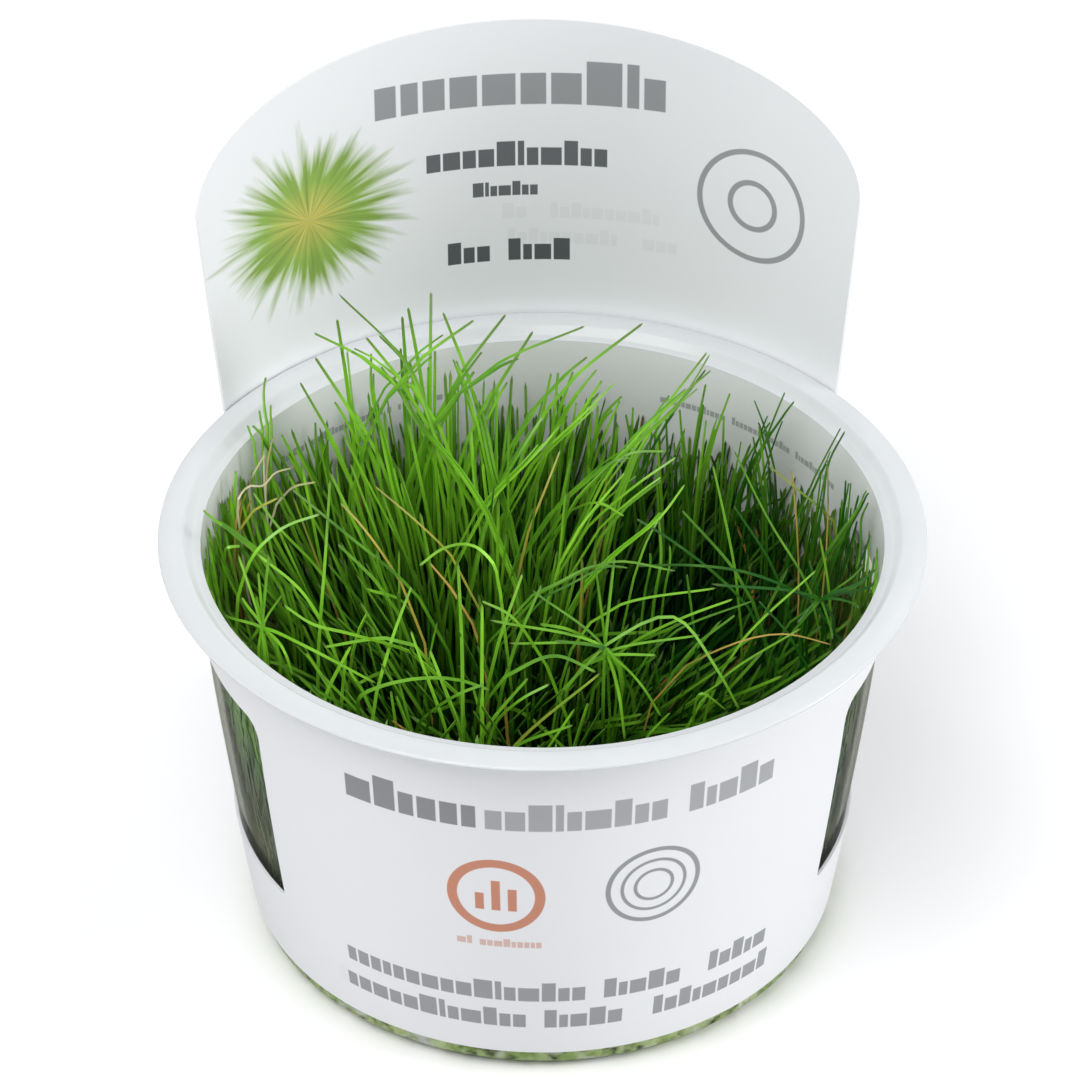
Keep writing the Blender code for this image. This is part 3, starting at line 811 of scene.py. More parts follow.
def outer_card_material():
    """The sleeve's outside: white card with grey rows and rings, and a warm ring with bars in it."""
    material, tree, shader, place = new_material("sleeve_outside")
    sleeve = settings("sleeve")
    round_back, up = sleeve_place(tree)
    half_round = math.pi * TAB_RADIUS / MM
    from_front = maths(tree, "SUBTRACT", half_round, round_back)
    from_front = maths(tree, "WRAP", from_front, half_round, -half_round)
    across = maths(tree, "MULTIPLY", from_front, WALL_TOP_RADIUS / TAB_RADIUS)
    grey = maths(tree, "MAXIMUM", print_mask(tree, across, up, FRONT_PRINT),
                 print_mask(tree, round_back, up, BACK_PRINT))
    colour = mixed(tree, grey, bare_card(tree, place), sleeve.ink)
    colour = mixed(tree, print_mask(tree, across, up, WARM_PRINT), colour, sleeve.accent)
    return card_finish(material, tree, shader, place, colour)


def green_burst(tree, across, up):
    """A printed burst of fine green rays round a yellow heart, and the mask that it fills."""
    sleeve = settings("sleeve")
    sideways = maths(tree, "DIVIDE", maths(tree, "SUBTRACT", across, BURST_MIDDLE), BURST_HALF_WIDTH)
    above = maths(tree, "DIVIDE", maths(tree, "SUBTRACT", up, BURST_LEVEL), BURST_HALF_HEIGHT)
    away = distance(tree, sideways, above)
    angle = maths(tree, "ARCTAN2", above, sideways)
    rays = {"W": maths(tree, "MULTIPLY", angle, BURST_RAYS), "Scale": 1.0, "Detail": 2.0,
            "Vector": add_node(tree, "ShaderNodeCombineXYZ", {0: away}).outputs[0]}
    streak = add_node(tree, "ShaderNodeTexNoise", rays, noise_dimensions="4D").outputs[0]
    within = graded(tree, away, gain=-2.4, offset=2.4, clamp=False)
    mask = graded(tree, maths(tree, "SUBTRACT", streak, 0.5), gain=3.2, offset=within)
    colour = mixed(tree, graded(tree, away, gain=2.6, offset=-0.25), sleeve.straw, sleeve.leaf)
    shade = graded(tree, streak, gain=2.4, offset=-0.7)
    return mask, mixed(tree, shade, colour, Vector(sleeve.leaf) * BURST_SHADE)


def inner_card_material():
    """The sleeve's inside: the tab's grey rows and rings, and a green burst, on white card."""
    material, tree, shader, place = new_material("sleeve_inside")
    across, up = sleeve_place(tree)
    grey = print_mask(tree, across, up, TAB_PRINT)
    colour = mixed(tree, grey, bare_card(tree, place), settings("sleeve").ink)
    mask, burst = green_burst(tree, across, up)
    return card_finish(material, tree, shader, place, mixed(tree, mask, colour, burst))


def jelly_material():
    """Wet clear jelly, mottled dark and pale, with dark spots over most of its top: partly real bits, partly
    painted shade under the grass.
    """
    material, tree, shader, place = new_material("jelly")
    jelly = settings("jelly")
    # Painted shade with real clouding and bits: dark clouds, and dark spots over most of the top
    colour = cloudy(tree, place, jelly.colour, scale=170.0, darkest=0.45)
    feed(tree, shader, {
        "Base Color": spotted(tree, place, colour, jelly.debris, scale=260.0, low=0.1, high=1.4),
        "Roughness": mottle(tree, place, scale=90.0, low=0.05, high=0.18),
        "Transmission Weight": 0.2,
        "IOR": 1.34,
        "Normal": grain(tree, place, scale=300.0, strength=0.2)})
    return material


def root_material():
    """Pale fine roots."""
    material, tree, shader, place = new_material("roots")
    feed(tree, shader, {
        "Base Color": cloudy(tree, place, settings("jelly").roots, scale=120.0, darkest=0.55),
        "Roughness": mottle(tree, place, scale=300.0, low=0.35, high=0.5)})
    return material


def fresh_green(tree, place, height, tone):
    """Each blade's own green, which painted shade darkens towards the jelly, low in the dense grass."""
    grass = settings("grass")
    uneven = mottle(tree, place, scale=220.0, low=-0.14, high=0.14)
    freshness_and_light = maths(tree, "ADD", tone, uneven, clamp=True)
    green = mixed(tree, freshness_and_light, grass.deep, grass.bright)
    # Painted shade: low down the green gives way to the dark foot colour
    return mixed(tree, ranged(tree, height, LIT_FROM, LIT_ABOVE), grass.foot, green)


def pressed_share(tree, place, streak):
    """How much of its brown a place has where blades are pressed against the wall at a window."""
    across, back, height = split(tree, place)
    away = distance(tree, across, back)
    sideways = maths(tree, "DIVIDE", maths(tree, "ABSOLUTE", across), away)
    at_window = maths(tree, "MULTIPLY", ranged(tree, sideways, SIDE_FROM, SIDE_TO), streak)
    beside_wall = ranged(tree, away, PRESSED_FROM, PRESSED_TO)
    low_down = maths(tree, "MULTIPLY", beside_wall, ranged(tree, height, PRESSED_TOP, LIT_FROM))
    return maths(tree, "MULTIPLY", low_down, at_window, clamp=True)


def dry_stretches(tree, colour, dryness, streak):
    """Lays a dry blade's straw stretches with brown streaks over its green; a dead one is pale."""
    grass = settings("grass")
    patch = graded(tree, streak, gain=1.7, offset=-0.7, clamp=False)
    here = maths(tree, "MULTIPLY", dryness, maths(tree, "ADD", patch, dryness, clamp=True), clamp=True)
    brown = maths(tree, "SUBTRACT", BROWN_BELOW, streak, clamp=True)
    straw = mixed(tree, ranged(tree, dryness, DEAD_FROM, 1.0), grass.dry, grass.dead)
    return mixed(tree, here, colour, mixed(tree, brown, straw, Vector(grass.dry) * BROWN_SHADE))


def dull_share(tree, height, along):
    """How dull a blade is: at its tip, and over the upper part of those that stand tall."""
    at_tip = ranged(tree, along, TIP_FROM, 1.0)
    upper = graded(tree, along, gain=2.2, offset=-1.2)
    standing = maths(tree, "MULTIPLY", ranged(tree, height, DULL_FROM, DULL_ABOVE), upper)
    return maths(tree, "MULTIPLY", maths(tree, "MAXIMUM", at_tip, standing), DULL_STRENGTH)


def grass_material():
    """Fresh thread blades: each has its own tone with painted light and shade in it, painted shade low down,
    a dull tip, and now and then a dry stretch.
    """
    material, tree, shader, place = new_material("grass")
    grass = settings("grass")
    along, tone, dryness = (add_node(tree, "ShaderNodeAttribute", attribute_name=name).outputs["Fac"]
                            for name in BLADE_LAYERS)
    height = split(tree, place)[2]
    streak = mottle(tree, place, scale=110.0, low=0.1, high=1.3)
    colour = fresh_green(tree, place, height, tone)
    colour = mixed(tree, pressed_share(tree, place, streak), colour, grass.pressed)
    colour = dry_stretches(tree, colour, dryness, streak)
    feed(tree, shader, {
        "Base Color": mixed(tree, dull_share(tree, height, along), colour, grass.tip),
        "Roughness": graded(tree, streak, gain=0.12, offset=0.31, clamp=False)})
    return material


def floor_material():
    """A matt pale floor that throws back less light than it shows."""
    material, tree, shader, place = new_material("floor")
    stage = settings("stage")
    shown = cloudy(tree, place, stage.floor, scale=4.0, darkest=0.99)
    seen = tree.nodes.new("ShaderNodeLightPath").outputs["Is Camera Ray"]
    colour = mixed(tree, seen, Vector(stage.floor) * stage.bounce, shown)
    feed(tree, shader, {"Base Color": colour, "Roughness": 0.85})
    return material


def add_object(name, data):
    """Adds an object to the scene."""
    item = bpy.data.objects.new(name, data)
    bpy.context.scene.collection.objects.link(item)
    return item


def mesh_data(name, mesh):
    """Turns a bmesh into mesh data, and frees it."""
    data = bpy.data.meshes.new(name)
    mesh.to_mesh(data)
    mesh.free()
    return data


def finish_piece(name, mesh, materials):
    """Turns a bmesh into a smooth piece that rides on the frame."""
    data = mesh_data(name, mesh)
    data.shade_smooth()
    data.set_sharp_from_angle(angle=EDGE_ANGLE)
    for material in materials:
        data.materials.append(material)
    piece = add_object(name, data)
    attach(piece, "root")
    return piece


def spin_outline(outline):
    """Spins an outline of radius and height pairs, from axis to axis, into a closed bmesh."""
    mesh = bmesh.new()
    verts = [mesh.verts.new((radius, 0, height)) for radius, height in outline]
    edges = [mesh.edges.new(pair) for pair in zip(verts, verts[1:])]
    bmesh.ops.spin(mesh, geom=verts + edges, cent=(0, 0, 0), axis=UP, angle=TURN,
                   steps=ROUND_STEPS, use_merge=True, use_normal_flip=False, use_duplicate=False)
    bmesh.ops.remove_doubles(mesh, verts=mesh.verts, dist=MERGE_DISTANCE)
    bmesh.ops.recalc_face_normals(mesh, faces=mesh.faces)
    return mesh


def round_edges(mesh, width):
    """Rounds every sharp edge of a mesh."""
    sharp = [edge for edge in mesh.edges if edge.calc_face_angle(0) > EDGE_ANGLE]
    bmesh.ops.bevel(mesh, geom=sharp, offset=width, offset_type="OFFSET", segments=2, profile=0.5,
                    affect="EDGES", clamp_overlap=True, material=-1)


def wall_radius(height):
    """Outer radius of the cup's wall, nearly upright at the top and tapering towards the foot."""
    below_ledge = 1 - height / (CUP_TOP.z - LEDGE_DROP)
    return WALL_TOP_RADIUS - WALL_TAPER * max(below_ledge, 0) ** WALL_BEND


def wall_heights():
    """Heights at which the cup's wall has rings: at the sleeve's foot, and from under to over a window."""
    low, high = WINDOW_BOTTOM - WINDOW_MARGIN, WINDOW_TOP + WINDOW_MARGIN
    beside = [low + (high - low) * step / WALL_STEPS for step in range(WALL_STEPS + 1)]
    return [SLEEVE_BOTTOM + WINDOW_MARGIN] + beside


def cup_outline():
    """The tub's outline: up the inside, over the crowned rim flange and down the outside."""
    cup = settings("cup")
    wall, top, rim = cup.wall, cup.height, cup.rim_radius
    ledge = top - LEDGE_DROP
    foot = wall_radius(0) - wall
    heights = wall_heights()
    return [
        (0, BASE_THICKNESS),
        (foot - FOOT_ROUNDING, BASE_THICKNESS),
        (foot - FOOT_ROUNDING * FOOT_BEND, BASE_THICKNESS + FOOT_ROUNDING * FOOT_BEND),
        (foot, BASE_THICKNESS + FOOT_ROUNDING),
        *((wall_radius(height) - wall, height) for height in heights),
        (WALL_TOP_RADIUS - wall, ledge),
        (FLANGE_INNER_RADIUS - LEDGE_SLOPE, ledge),
        (FLANGE_INNER_RADIUS, top - FLANGE_CROWN),
        (FLANGE_INNER_RADIUS + LEDGE_LIP, top),
        ((FLANGE_INNER_RADIUS + rim) / 2, top),
        (rim - LEDGE_LIP, top - FLANGE_CROWN * CROWN_NEAR_EDGE),
        (rim, top - FLANGE_CROWN * CROWN_AT_EDGE),
        (rim, top - wall),
        (FLANGE_INNER_RADIUS + wall, top - wall),
        (FLANGE_INNER_RADIUS + wall, ledge - wall),
        (WALL_TOP_RADIUS, ledge - wall),
        *((wall_radius(height), height) for height in reversed(heights)),
        (wall_radius(FOOT_ROUNDING), FOOT_ROUNDING),
        (BASE_RADIUS, 0),
        (BASE_RING_RADIUS, 0),
        (BASE_RING_RADIUS - BASE_RECESS, BASE_RECESS),
        (0, BASE_RECESS),
    ]


def plastic_at(place):
    """Which plastic a place on the cup shows: 1 the rim, 2 a window, 3 the foot, 0 the covered wall."""
    if place.z > CUP_TOP.z - LEDGE_DROP - settings("cup").wall:
        return 1
    if place.z < SLEEVE_BOTTOM + WINDOW_MARGIN:
        return 3
    turned = Matrix.Rotation(-SLEEVE_TURN, 2) @ place.xy
    from_front = abs(math.atan2(turned.x, -turned.y))
    spread = WINDOW_MARGIN / WALL_TOP_RADIUS
    beside = WINDOW_FRONT - spread < from_front < WINDOW_BACK + spread
    in_window = beside and WINDOW_BOTTOM - WINDOW_MARGIN < place.z < WINDOW_TOP + WINDOW_MARGIN
    return 2 if in_window else 0


def sleeve_columns():
    """Distances round from the back at which the sleeve has upright lines."""
    half_tab = TAB_HALF_ANGLE * TAB_RADIUS
    half_round = math.pi * TAB_RADIUS
    middle = [half_tab * math.sin(math.pi * (step / TAB_COLUMNS - 0.5)) for step in range(TAB_COLUMNS + 1)]
    side = [half_tab + (half_round - half_tab) * step / BAND_COLUMNS for step in range(1, BAND_COLUMNS + 1)]
    return [-across for across in reversed(side)] + middle + side


def sleeve_levels():
    """Heights at which the flat sleeve has level lines, before its tab gets its arch."""
    band = [SLEEVE_BOTTOM + (BAND_TOP - SLEEVE_BOTTOM) * step / BAND_ROWS for step in range(BAND_ROWS + 1)]
    tab = [CUP_TOP.z + TAB_HEIGHT * step / TAB_ROWS for step in range(TAB_ROWS + 1)]
    return band + tab


def flat_sleeve():
    """The uncut flat blank: a row of edges, extruded upwards level by level."""
    mesh = bmesh.new()
    levels = sleeve_levels()
    verts = [mesh.verts.new((across, levels[0], 0)) for across in sleeve_columns()]
    edges = [mesh.edges.new(pair) for pair in zip(verts, verts[1:])]
    for level in levels[1:]:
        grown = bmesh.ops.extrude_edge_only(mesh, edges=edges)["geom"]
        edges = [part for part in grown if isinstance(part, bmesh.types.BMEdge)]
        for vert in (part for part in grown if isinstance(part, bmesh.types.BMVert)):
            vert.co.y = level
    return mesh


def trim_beside_tab(mesh):
    """Cuts away what stands above the band beside the tab, and gives the tab its arch."""
    half_tab = TAB_HALF_ANGLE * TAB_RADIUS
    spare = [face for face in mesh.faces if face.calc_center_median().y > BAND_TOP
             and abs(face.calc_center_median().x) > half_tab]
    bmesh.ops.delete(mesh, geom=spare, context="FACES")
    for vert in mesh.verts:
        if vert.co.y > CUP_TOP.z:
            share = min(abs(vert.co.x) / half_tab, 1)
            top = TAB_SHOULDER + (TAB_HEIGHT - TAB_SHOULDER) * math.sqrt(1 - share ** 2)
            vert.co.y = CUP_TOP.z + (vert.co.y - CUP_TOP.z) * top / TAB_HEIGHT
        if vert.co.y > BAND_TOP:
            rise = min((vert.co.y - BAND_TOP) / (CUP_TOP.z + TAB_SHOULDER - BAND_TOP), 1)
            vert.co.x *= 1 + TAB_WIDENING * rise / half_tab


def window_outline(side):
    """Outline of one side window in the flat blank, with rounded corners, anticlockwise."""
    inner = (math.pi - WINDOW_BACK) * TAB_RADIUS
    outer = (math.pi - WINDOW_FRONT) * TAB_RADIUS
    left, right = sorted((side * inner, side * outer))
    corners = [(right, WINDOW_TOP, -1, -1, 0), (left, WINDOW_TOP, 1, -1, 90),
               (left, WINDOW_BOTTOM, 1, 1, 180), (right, WINDOW_BOTTOM, -1, 1, 270)]
    points = []
    for across, up, inward_x, inward_y, start in corners:
        rounding = WINDOW_TOP_CORNER if up == WINDOW_TOP else WINDOW_FOOT_CORNER
        centre = Vector((across + inward_x * rounding, up + inward_y * rounding, 0))
        for step in range(CORNER_STEPS + 1):
            angle = math.radians(start + 90 * step / CORNER_STEPS)
            points.append(centre + rounding * Vector((math.cos(angle), math.sin(angle), 0)))
    return points


def cut_window(mesh, outline):
    """Cuts a window into the flat blank along its outline, one side at a time."""
    sides = list(zip(outline, outline[1:] + outline[:1]))
    low = Vector(map(min, zip(*outline)))
    high = Vector(map(max, zip(*outline)))
    for start, end in sides:
        near = [face for face in mesh.faces if overlaps(face, low, high)]
        geometry = list({part for face in near for part in (face, *face.edges, *face.verts)})
        across = (end - start).cross(UP).normalized()
        bmesh.ops.bisect_plane(mesh, geom=geometry, dist=MERGE_DISTANCE, plane_co=start, plane_no=across)
    inside = [face for face in mesh.faces
              if all((end - start).cross(face.calc_center_median() - start).z > 0 for start, end in sides)]
    bmesh.ops.delete(mesh, geom=inside, context="FACES")


def overlaps(face, low, high):
    """Says whether a face of the flat blank reaches into a box."""
    xs = [vert.co.x for vert in face.verts]
    ys = [vert.co.y for vert in face.verts]
    return max(xs) > low.x and min(xs) < high.x and max(ys) > low.y and min(ys) < high.y


def wrap_sleeve(across, up):
    """Bends a point of the flat blank round the cup, or into the tab above the rim."""
    if up > CUP_TOP.z:
        above = up - CUP_TOP.z
        radius = TAB_RADIUS + TAB_FLATTENING * above
        angle = across / radius
        behind = TAB_RADIUS + above * math.sin(TAB_LEAN) - radius * (1 - math.cos(angle))
        return Vector((radius * math.sin(angle), behind, CUP_TOP.z + above * math.cos(TAB_LEAN)))
    angle = across / TAB_RADIUS
    snug = wall_radius(up) + SNUG_GAP
    foot = wall_radius(SLEEVE_BOTTOM) + CLEARANCE
    flared = foot + (TAB_RADIUS - foot) * (up - SLEEVE_BOTTOM) / (CUP_TOP.z - SLEEVE_BOTTOM)
    blend = held((TAB_FLARE_START - abs(angle)) / (TAB_FLARE_START - TAB_HALF_ANGLE))
    radius = snug + (flared - snug) * blend * blend * (3 - 2 * blend)
    return Vector((radius * math.sin(angle), radius * math.cos(angle), up))


def faces_inward(face):
    """Says whether a face of the sleeve looks towards the cup's axis."""
    return face.normal.dot(Vector((*face.calc_center_median().xy, 0))) < 0


def sleeve_mesh():
    """The whole sleeve, cut flat, marked with its own map, and bent round the cup."""
    mesh = flat_sleeve()
    trim_beside_tab(mesh)
    for side in (-1, 1):
        cut_window(mesh, window_outline(side))
    layer = mesh.loops.layers.uv.new("blank")
    for face in mesh.faces:
        for loop in face.loops:
            loop[layer].uv = loop.vert.co.xy
    for vert in mesh.verts:
        vert.co = wrap_sleeve(vert.co.x, vert.co.y)
    bmesh.ops.remove_doubles(mesh, verts=mesh.verts, dist=MERGE_DISTANCE)
    bmesh.ops.rotate(mesh, verts=mesh.verts, matrix=Matrix.Rotation(SLEEVE_TURN, 3, "Z"))
    for face in mesh.faces:
        if faces_inward(face):
            face.normal_flip()
    bmesh.ops.solidify(mesh, geom=mesh.faces, thickness=-settings("sleeve").thickness)
    bmesh.ops.recalc_face_normals(mesh, faces=mesh.faces)
    for face in mesh.faces:
        face.material_index = int(faces_inward(face))
    return mesh


def spike():
    """One straight blade of unit height and half width, with its few sides ending in a point."""
    mesh = bmesh.new()
    bmesh.ops.create_cone(mesh, cap_ends=True, cap_tris=False, segments=BLADE_SIDES,
                          radius1=1, radius2=1, depth=1)
    bmesh.ops.translate(mesh, verts=mesh.verts, vec=UP / 2)
    upright = [edge for edge in mesh.edges if edge.verts[0].co.z != edge.verts[1].co.z]
    bmesh.ops.subdivide_edges(mesh, edges=upright, cuts=BLADE_RINGS - 1, use_grid_fill=True)
    top = [vert for vert in mesh.verts if vert.co.z > 1 - 0.5 / BLADE_RINGS]
    bmesh.ops.pointmerge(mesh, verts=top, merge_co=UP)
    return mesh_data("spike", mesh)


Blade = namedtuple("Blade", "places sway half_width tone dryness")


def inside_cup(point):
    """Holds a point of a blade inside the wall, or lets it hang over the rim a little."""
    away = point.xy.length
    above_rim = held((point.z - CUP_TOP.z) / (OVERHANG * 2))
    limit = wall_radius(point.z) - settings("cup").wall - WALL_GAP + OVERHANG * above_rim
    over = away - (limit - WALL_CUSHION)
    if over <= 0:
        return point
    kept = limit - WALL_CUSHION * math.exp(-over / WALL_CUSHION)
    return Vector((point.x * kept / away, point.y * kept / away, point.z))


def ring_share(step):
    """Share of the way at which a ring lies: the rings crowd towards the tip."""
    return 1 - (1 - step / BLADE_RINGS) ** TIP_CROWDING


def smooth_course(places):
    """Points along a smooth curve through some places, one for each ring of a blade."""
    reached = [0.0]
    for before, after in zip(places, places[1:]):
        reached.append(reached[-1] + (after - before).length)
    last = len(places) - 1
    slopes = [(places[1] - places[0]) / (reached[1] - reached[0])]
    for index in range(1, last):
        before, after = reached[index] - reached[index - 1], reached[index + 1] - reached[index]
        ahead = (places[index + 1] - places[index]) * before / after
        slopes.append((ahead + (places[index] - places[index - 1]) * after / before) / (before + after))
    slopes.append((places[last] - places[last - 1]) / (reached[last] - reached[last - 1]))
    course = []
    for step in range(BLADE_RINGS + 1):
        passed = ring_share(step) * last
        index = min(int(passed), last - 1)
        part, rest = passed - index, 1 - passed + index
        point = places[index] * (1 + 2 * part) * rest ** 2 + places[index + 1] * part ** 2 * (3 - 2 * part)
        turn = slopes[index] * rest - slopes[index + 1] * part
        course.append(point + turn * (reached[index + 1] - reached[index]) * part * rest)
    return course


def blade_line(blade):
    """Middle line of a blade, from foot to tip, and the direction across its bend."""
    foot, knee, tip = blade.places[0], blade.places[-2], blade.places[-1]
    across = (knee - foot).cross(tip - knee)
    across = across.normalized() if across.length > MERGE_DISTANCE ** 2 else Vector((1, 0, 0))
    line = []
    for step, point in enumerate(smooth_course(blade.places)):
        along = ring_share(step)
        line.append(inside_cup(point + across * blade.sway * along * math.sin(math.pi * along)))
    return line, across


def blade_width(along):
    """Share of the full width that a blade has at a place along it."""
    return 1 - TIP_NARROWING * along ** 2


def bend_blade(verts, blade, layers):
    """Bends one straight spike's vertices along a blade's line, and marks them for the material."""
    line, across = blade_line(blade)
    for vert in verts:
        step = round(vert.co.z * BLADE_RINGS)
        before, after = line[max(step - 1, 0)], line[min(step + 1, BLADE_RINGS)]
        outward = (after - before).cross(across).normalized()
        along = ring_share(step)
        width = blade.half_width * blade_width(along) * (step < BLADE_RINGS)
        for layer, value in zip(layers, (along, blade.tone, blade.dryness)):
            vert[layer] = value
        vert.co = line[step] + (across * vert.co.x + outward * vert.co.y) * width


def grow(name, blades, material):
    """Makes one piece of many blades."""
    straight = spike()
    mesh = bmesh.new()
    for _ in blades:
        mesh.from_mesh(straight)
    layers = [mesh.verts.layers.float.new(label) for label in BLADE_LAYERS]
    verts = list(mesh.verts)
    size = len(straight.vertices)
    for index, blade in enumerate(blades):
        bend_blade(verts[index * size:(index + 1) * size], blade, layers)
    bpy.data.meshes.remove(straight)
    return finish_piece(name, mesh, [material])


def mound(place, centre, spread):
    """A smooth mound over a place, one high at its centre."""
    away = (place - centre).length / spread
    return math.exp(-away * away / 2)


def gap_nearness(place):
    """How near a place is to the dark gap between the clump and the right side: under one is inside it."""
    away = place.xy - GAP_CENTRE
    return Vector((away.x / GAP_HALF_WIDTH, away.y / GAP_HALF_LENGTH)).length


def canopy_height(place):
    """Height that the tips reach: a tall clump at the left, and hollows at the gap and the rosettes."""
    back = place.y / RINGS_REACH
    rise = CLUMP_RISE * mound(place, CLUMP_CENTRE, CLUMP_SPREAD)
    drop = GAP_DEPTH * math.exp(-gap_nearness(place) ** 2 / 2)
    drop += BACK_DROP * max(back, 0) ** 2
    for seen in ROSETTES:
        drop += ROSETTE_CLEARING * mound(place, seen_at(*seen).xy, ROSETTE_SPREAD)
    rise += WALL_RISE * held(place.xy.length / RINGS_REACH) ** WALL_STEEPNESS * (1 + held(back, -1)) / 2
    return CANOPY_HEIGHT + rise - drop - RIGHT_DROP * held(place.x / RINGS_REACH) - FRONT_RISE * back


def tone_at(place, rng):
    """How lively a blade's green is: its own tone by chance, with painted light that brightens the clump and
    the left and painted shade that deepens the right.
    """
    right = held(place.x / RINGS_REACH)
    left = held(-place.x / RINGS_REACH)
    clump_light = CLUMP_PAINTED_LIGHT * mound(place, CLUMP_CENTRE, CLUMP_SPREAD * CLUMP_PAINTED_LIGHT_SPREAD)
    return USUAL_TONE + clump_light - RIGHT_PAINTED_SHADE * right + LEFT_PAINTED_LIGHT * left ** 2 + rng.gauss(0, TONE_SCATTER)


def crown(node):
    """Place of a tuft's crown: the lowest point of its solid."""
    return min((vert.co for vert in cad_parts[node].data.vertices), key=lambda place: place.z).copy()


def blade_count(place):
    """Number of blades in a tuft: fewer where they sprawl at the front than where they stand dense."""
    front = held(-place.y / RINGS_REACH)
    return round(settings("grass").blades * (1 - FRONT_THINNING * front))


def place_round(angle, reach, height):
    """The place at an angle round the cup, a reach from its axis and a height."""
    return Vector((reach * math.cos(angle), reach * math.sin(angle), height))


def any_direction(rng):
    """A level direction by chance."""
    return place_round(rng.uniform(0, TURN), 1, 0)


def heading_at(foot, rng):
    """Level direction in which a blade leans: the clump fans out, and the outer blades lean to the wall."""
    from_clump = Vector((*(foot.xy - CLUMP_CENTRE), 0)) / CLUMP_SPREAD
    from_middle = Vector((*foot.xy, 0)) / RINGS_REACH
    heading = any_direction(rng) + from_clump * FAN_PULL * mound(foot.xy, CLUMP_CENTRE, CLUMP_SPREAD)
    return (heading + from_middle * WALL_PULL * from_middle.length ** 2).normalized()


def crosses_gap(blade):
    """Says whether a blade reaches into the dark gap."""
    line, _ = blade_line(blade)
    return any(point.z > GAP_FLOOR and gap_nearness(point) < 1 for point in line)


def fitting_blade(middle, rng):
    """A blade that stays out of the gap and under the canopy where it ends, if a few tries find one."""
    for _ in range(TRIES):
        blade = random_blade(middle, rng)
        tip = blade.places[-1]
        if tip.z < canopy_height(tip.xy) * OVER_CANOPY and not crosses_gap(blade):
            break
    return blade


def chosen_width(rng, widths):
    """Half the width of a blade, by chance between two shares of the usual one."""
    return settings("grass").half_width * rng.uniform(*widths)


def random_blade(middle, rng):
    """A blade that grows somewhere in a tuft, in one of the usual habits."""
    foot = middle + any_direction(rng) * CELL_RADIUS * math.sqrt(rng.random())
    foot.z = FOOT_LEVEL
    habit = rng.choices(HABITS, [habit.weight for habit in HABITS])[0]
    canopy = canopy_height(foot.xy)
    tall = canopy * rng.uniform(*habit.tip)
    messiness = 1 - mound(foot.xy, CLUMP_CENTRE, CLUMP_SPREAD)
    reach = heading_at(foot, rng) * canopy * rng.uniform(*habit.lean) * (CALM_LEAN + MESSY_LEAN * messiness)
    knee = foot + reach * rng.uniform(*habit.knee_reach)
    knee.z = foot.z + (tall - foot.z) * rng.uniform(*habit.knee_height)
    tip = Vector((foot.x + reach.x, foot.y + reach.y, tall))
    half_width = chosen_width(rng, BLADE_WIDTHS)
    # Painted light: blades whose tips stand high over the canopy get a brighter green
    tone = held(tone_at(foot.xy, rng) + habit.fresher + tall / canopy - USUAL_TIP)
    dryness = rng.uniform(*DRYNESS) if rng.random() < DRY_SHARE else 0
    bend = (foot + knee * 2 + tip) / 4
    return Blade((foot, bend, tip), rng.gauss(0, SWAY), half_width, tone, dryness)


def camera_axes():
    """The camera's place, and its directions to the right, upwards and ahead."""
    ahead = Vector((0, math.cos(CAMERA_ELEVATION), -math.sin(CAMERA_ELEVATION)))
    right = Vector((1, 0, 0))
    return CAMERA_TARGET - ahead * CAMERA_DISTANCE, right, right.cross(ahead), ahead


def seen_at(pixel, height):
    """The place at a height in millimetres that the camera sees at a pixel."""
    eye, right, upward, ahead = camera_axes()
    scale = SENSOR_WIDTH / (CAMERA_LENS * FRAME_PIXELS)
    across, down = (part - FRAME_PIXELS / 2 for part in pixel)
    line = ahead + right * across * scale - upward * down * scale
    return eye + line * (height * MM - eye.z) / line.z


def seen_blade(seen, lean, rng):
    """A blade through the places where the photo shows it, from a foot in the jelly."""
    places = [seen_at(pixel, height) for pixel, height in zip(seen.pixels, seen.heights)]
    foot = places[-1] + (places[-1] - places[-2]) * lean
    foot.z = FOOT_LEVEL
    away = foot.xy.length
    if away > RINGS_REACH:
        foot.x *= RINGS_REACH / away
        foot.y *= RINGS_REACH / away
    thinning = 1 - RIGHT_THINNING * held(places[0].x / RINGS_REACH)
    half_width = chosen_width(rng, SEEN_WIDTHS) * thinning * (1 - DRY_THINNING * seen.dryness)
    tone = held(tone_at(foot.xy, rng) + SEEN_FRESHER)
    return Blade((foot, *reversed(places)), 0, half_width, tone, seen.dryness)


def bundle(blade, rng):
    """A tall blade and the shorter ones that grow close beside it."""
    blades = [blade]
    for _ in range(BUNDLE_BLADES):
        aside = any_direction(rng) * BUNDLE_SPREAD * rng.random()
        tip = blade.places[-1].lerp(blade.places[-2], rng.uniform(*BUNDLE_TIPS))
        places = tuple(place + aside for place in (*blade.places[:-1], tip))
        half_width = blade.half_width * rng.uniform(*BUNDLE_WIDTHS)
        tone = held(blade.tone + rng.gauss(*BUNDLE_TONE))
        blades.append(Blade(places, 0, half_width, tone, blade.dryness))
    return blades


def rosette(seen, rng):
    """Blades that splay from one point that the camera sees, like the rays of a star."""
    heart = seen_at(*seen)
    foot = Vector((heart.x, heart.y, FOOT_LEVEL))
    blades = []
    for _ in range(ROSETTE_BLADES):
        tip = heart + any_direction(rng) * ROSETTE_REACH * rng.uniform(*ROSETTE_SHARES)
        tip.z = heart.z + rng.uniform(*ROSETTE_RISES)
        half_width = chosen_width(rng, ROSETTE_WIDTHS)
        tone = held(tone_at(foot.xy, rng) + ROSETTE_FRESHER)
        blades.append(Blade((foot, foot.lerp(heart, 0.5), heart, tip), 0, half_width, tone, 0))
    return blades


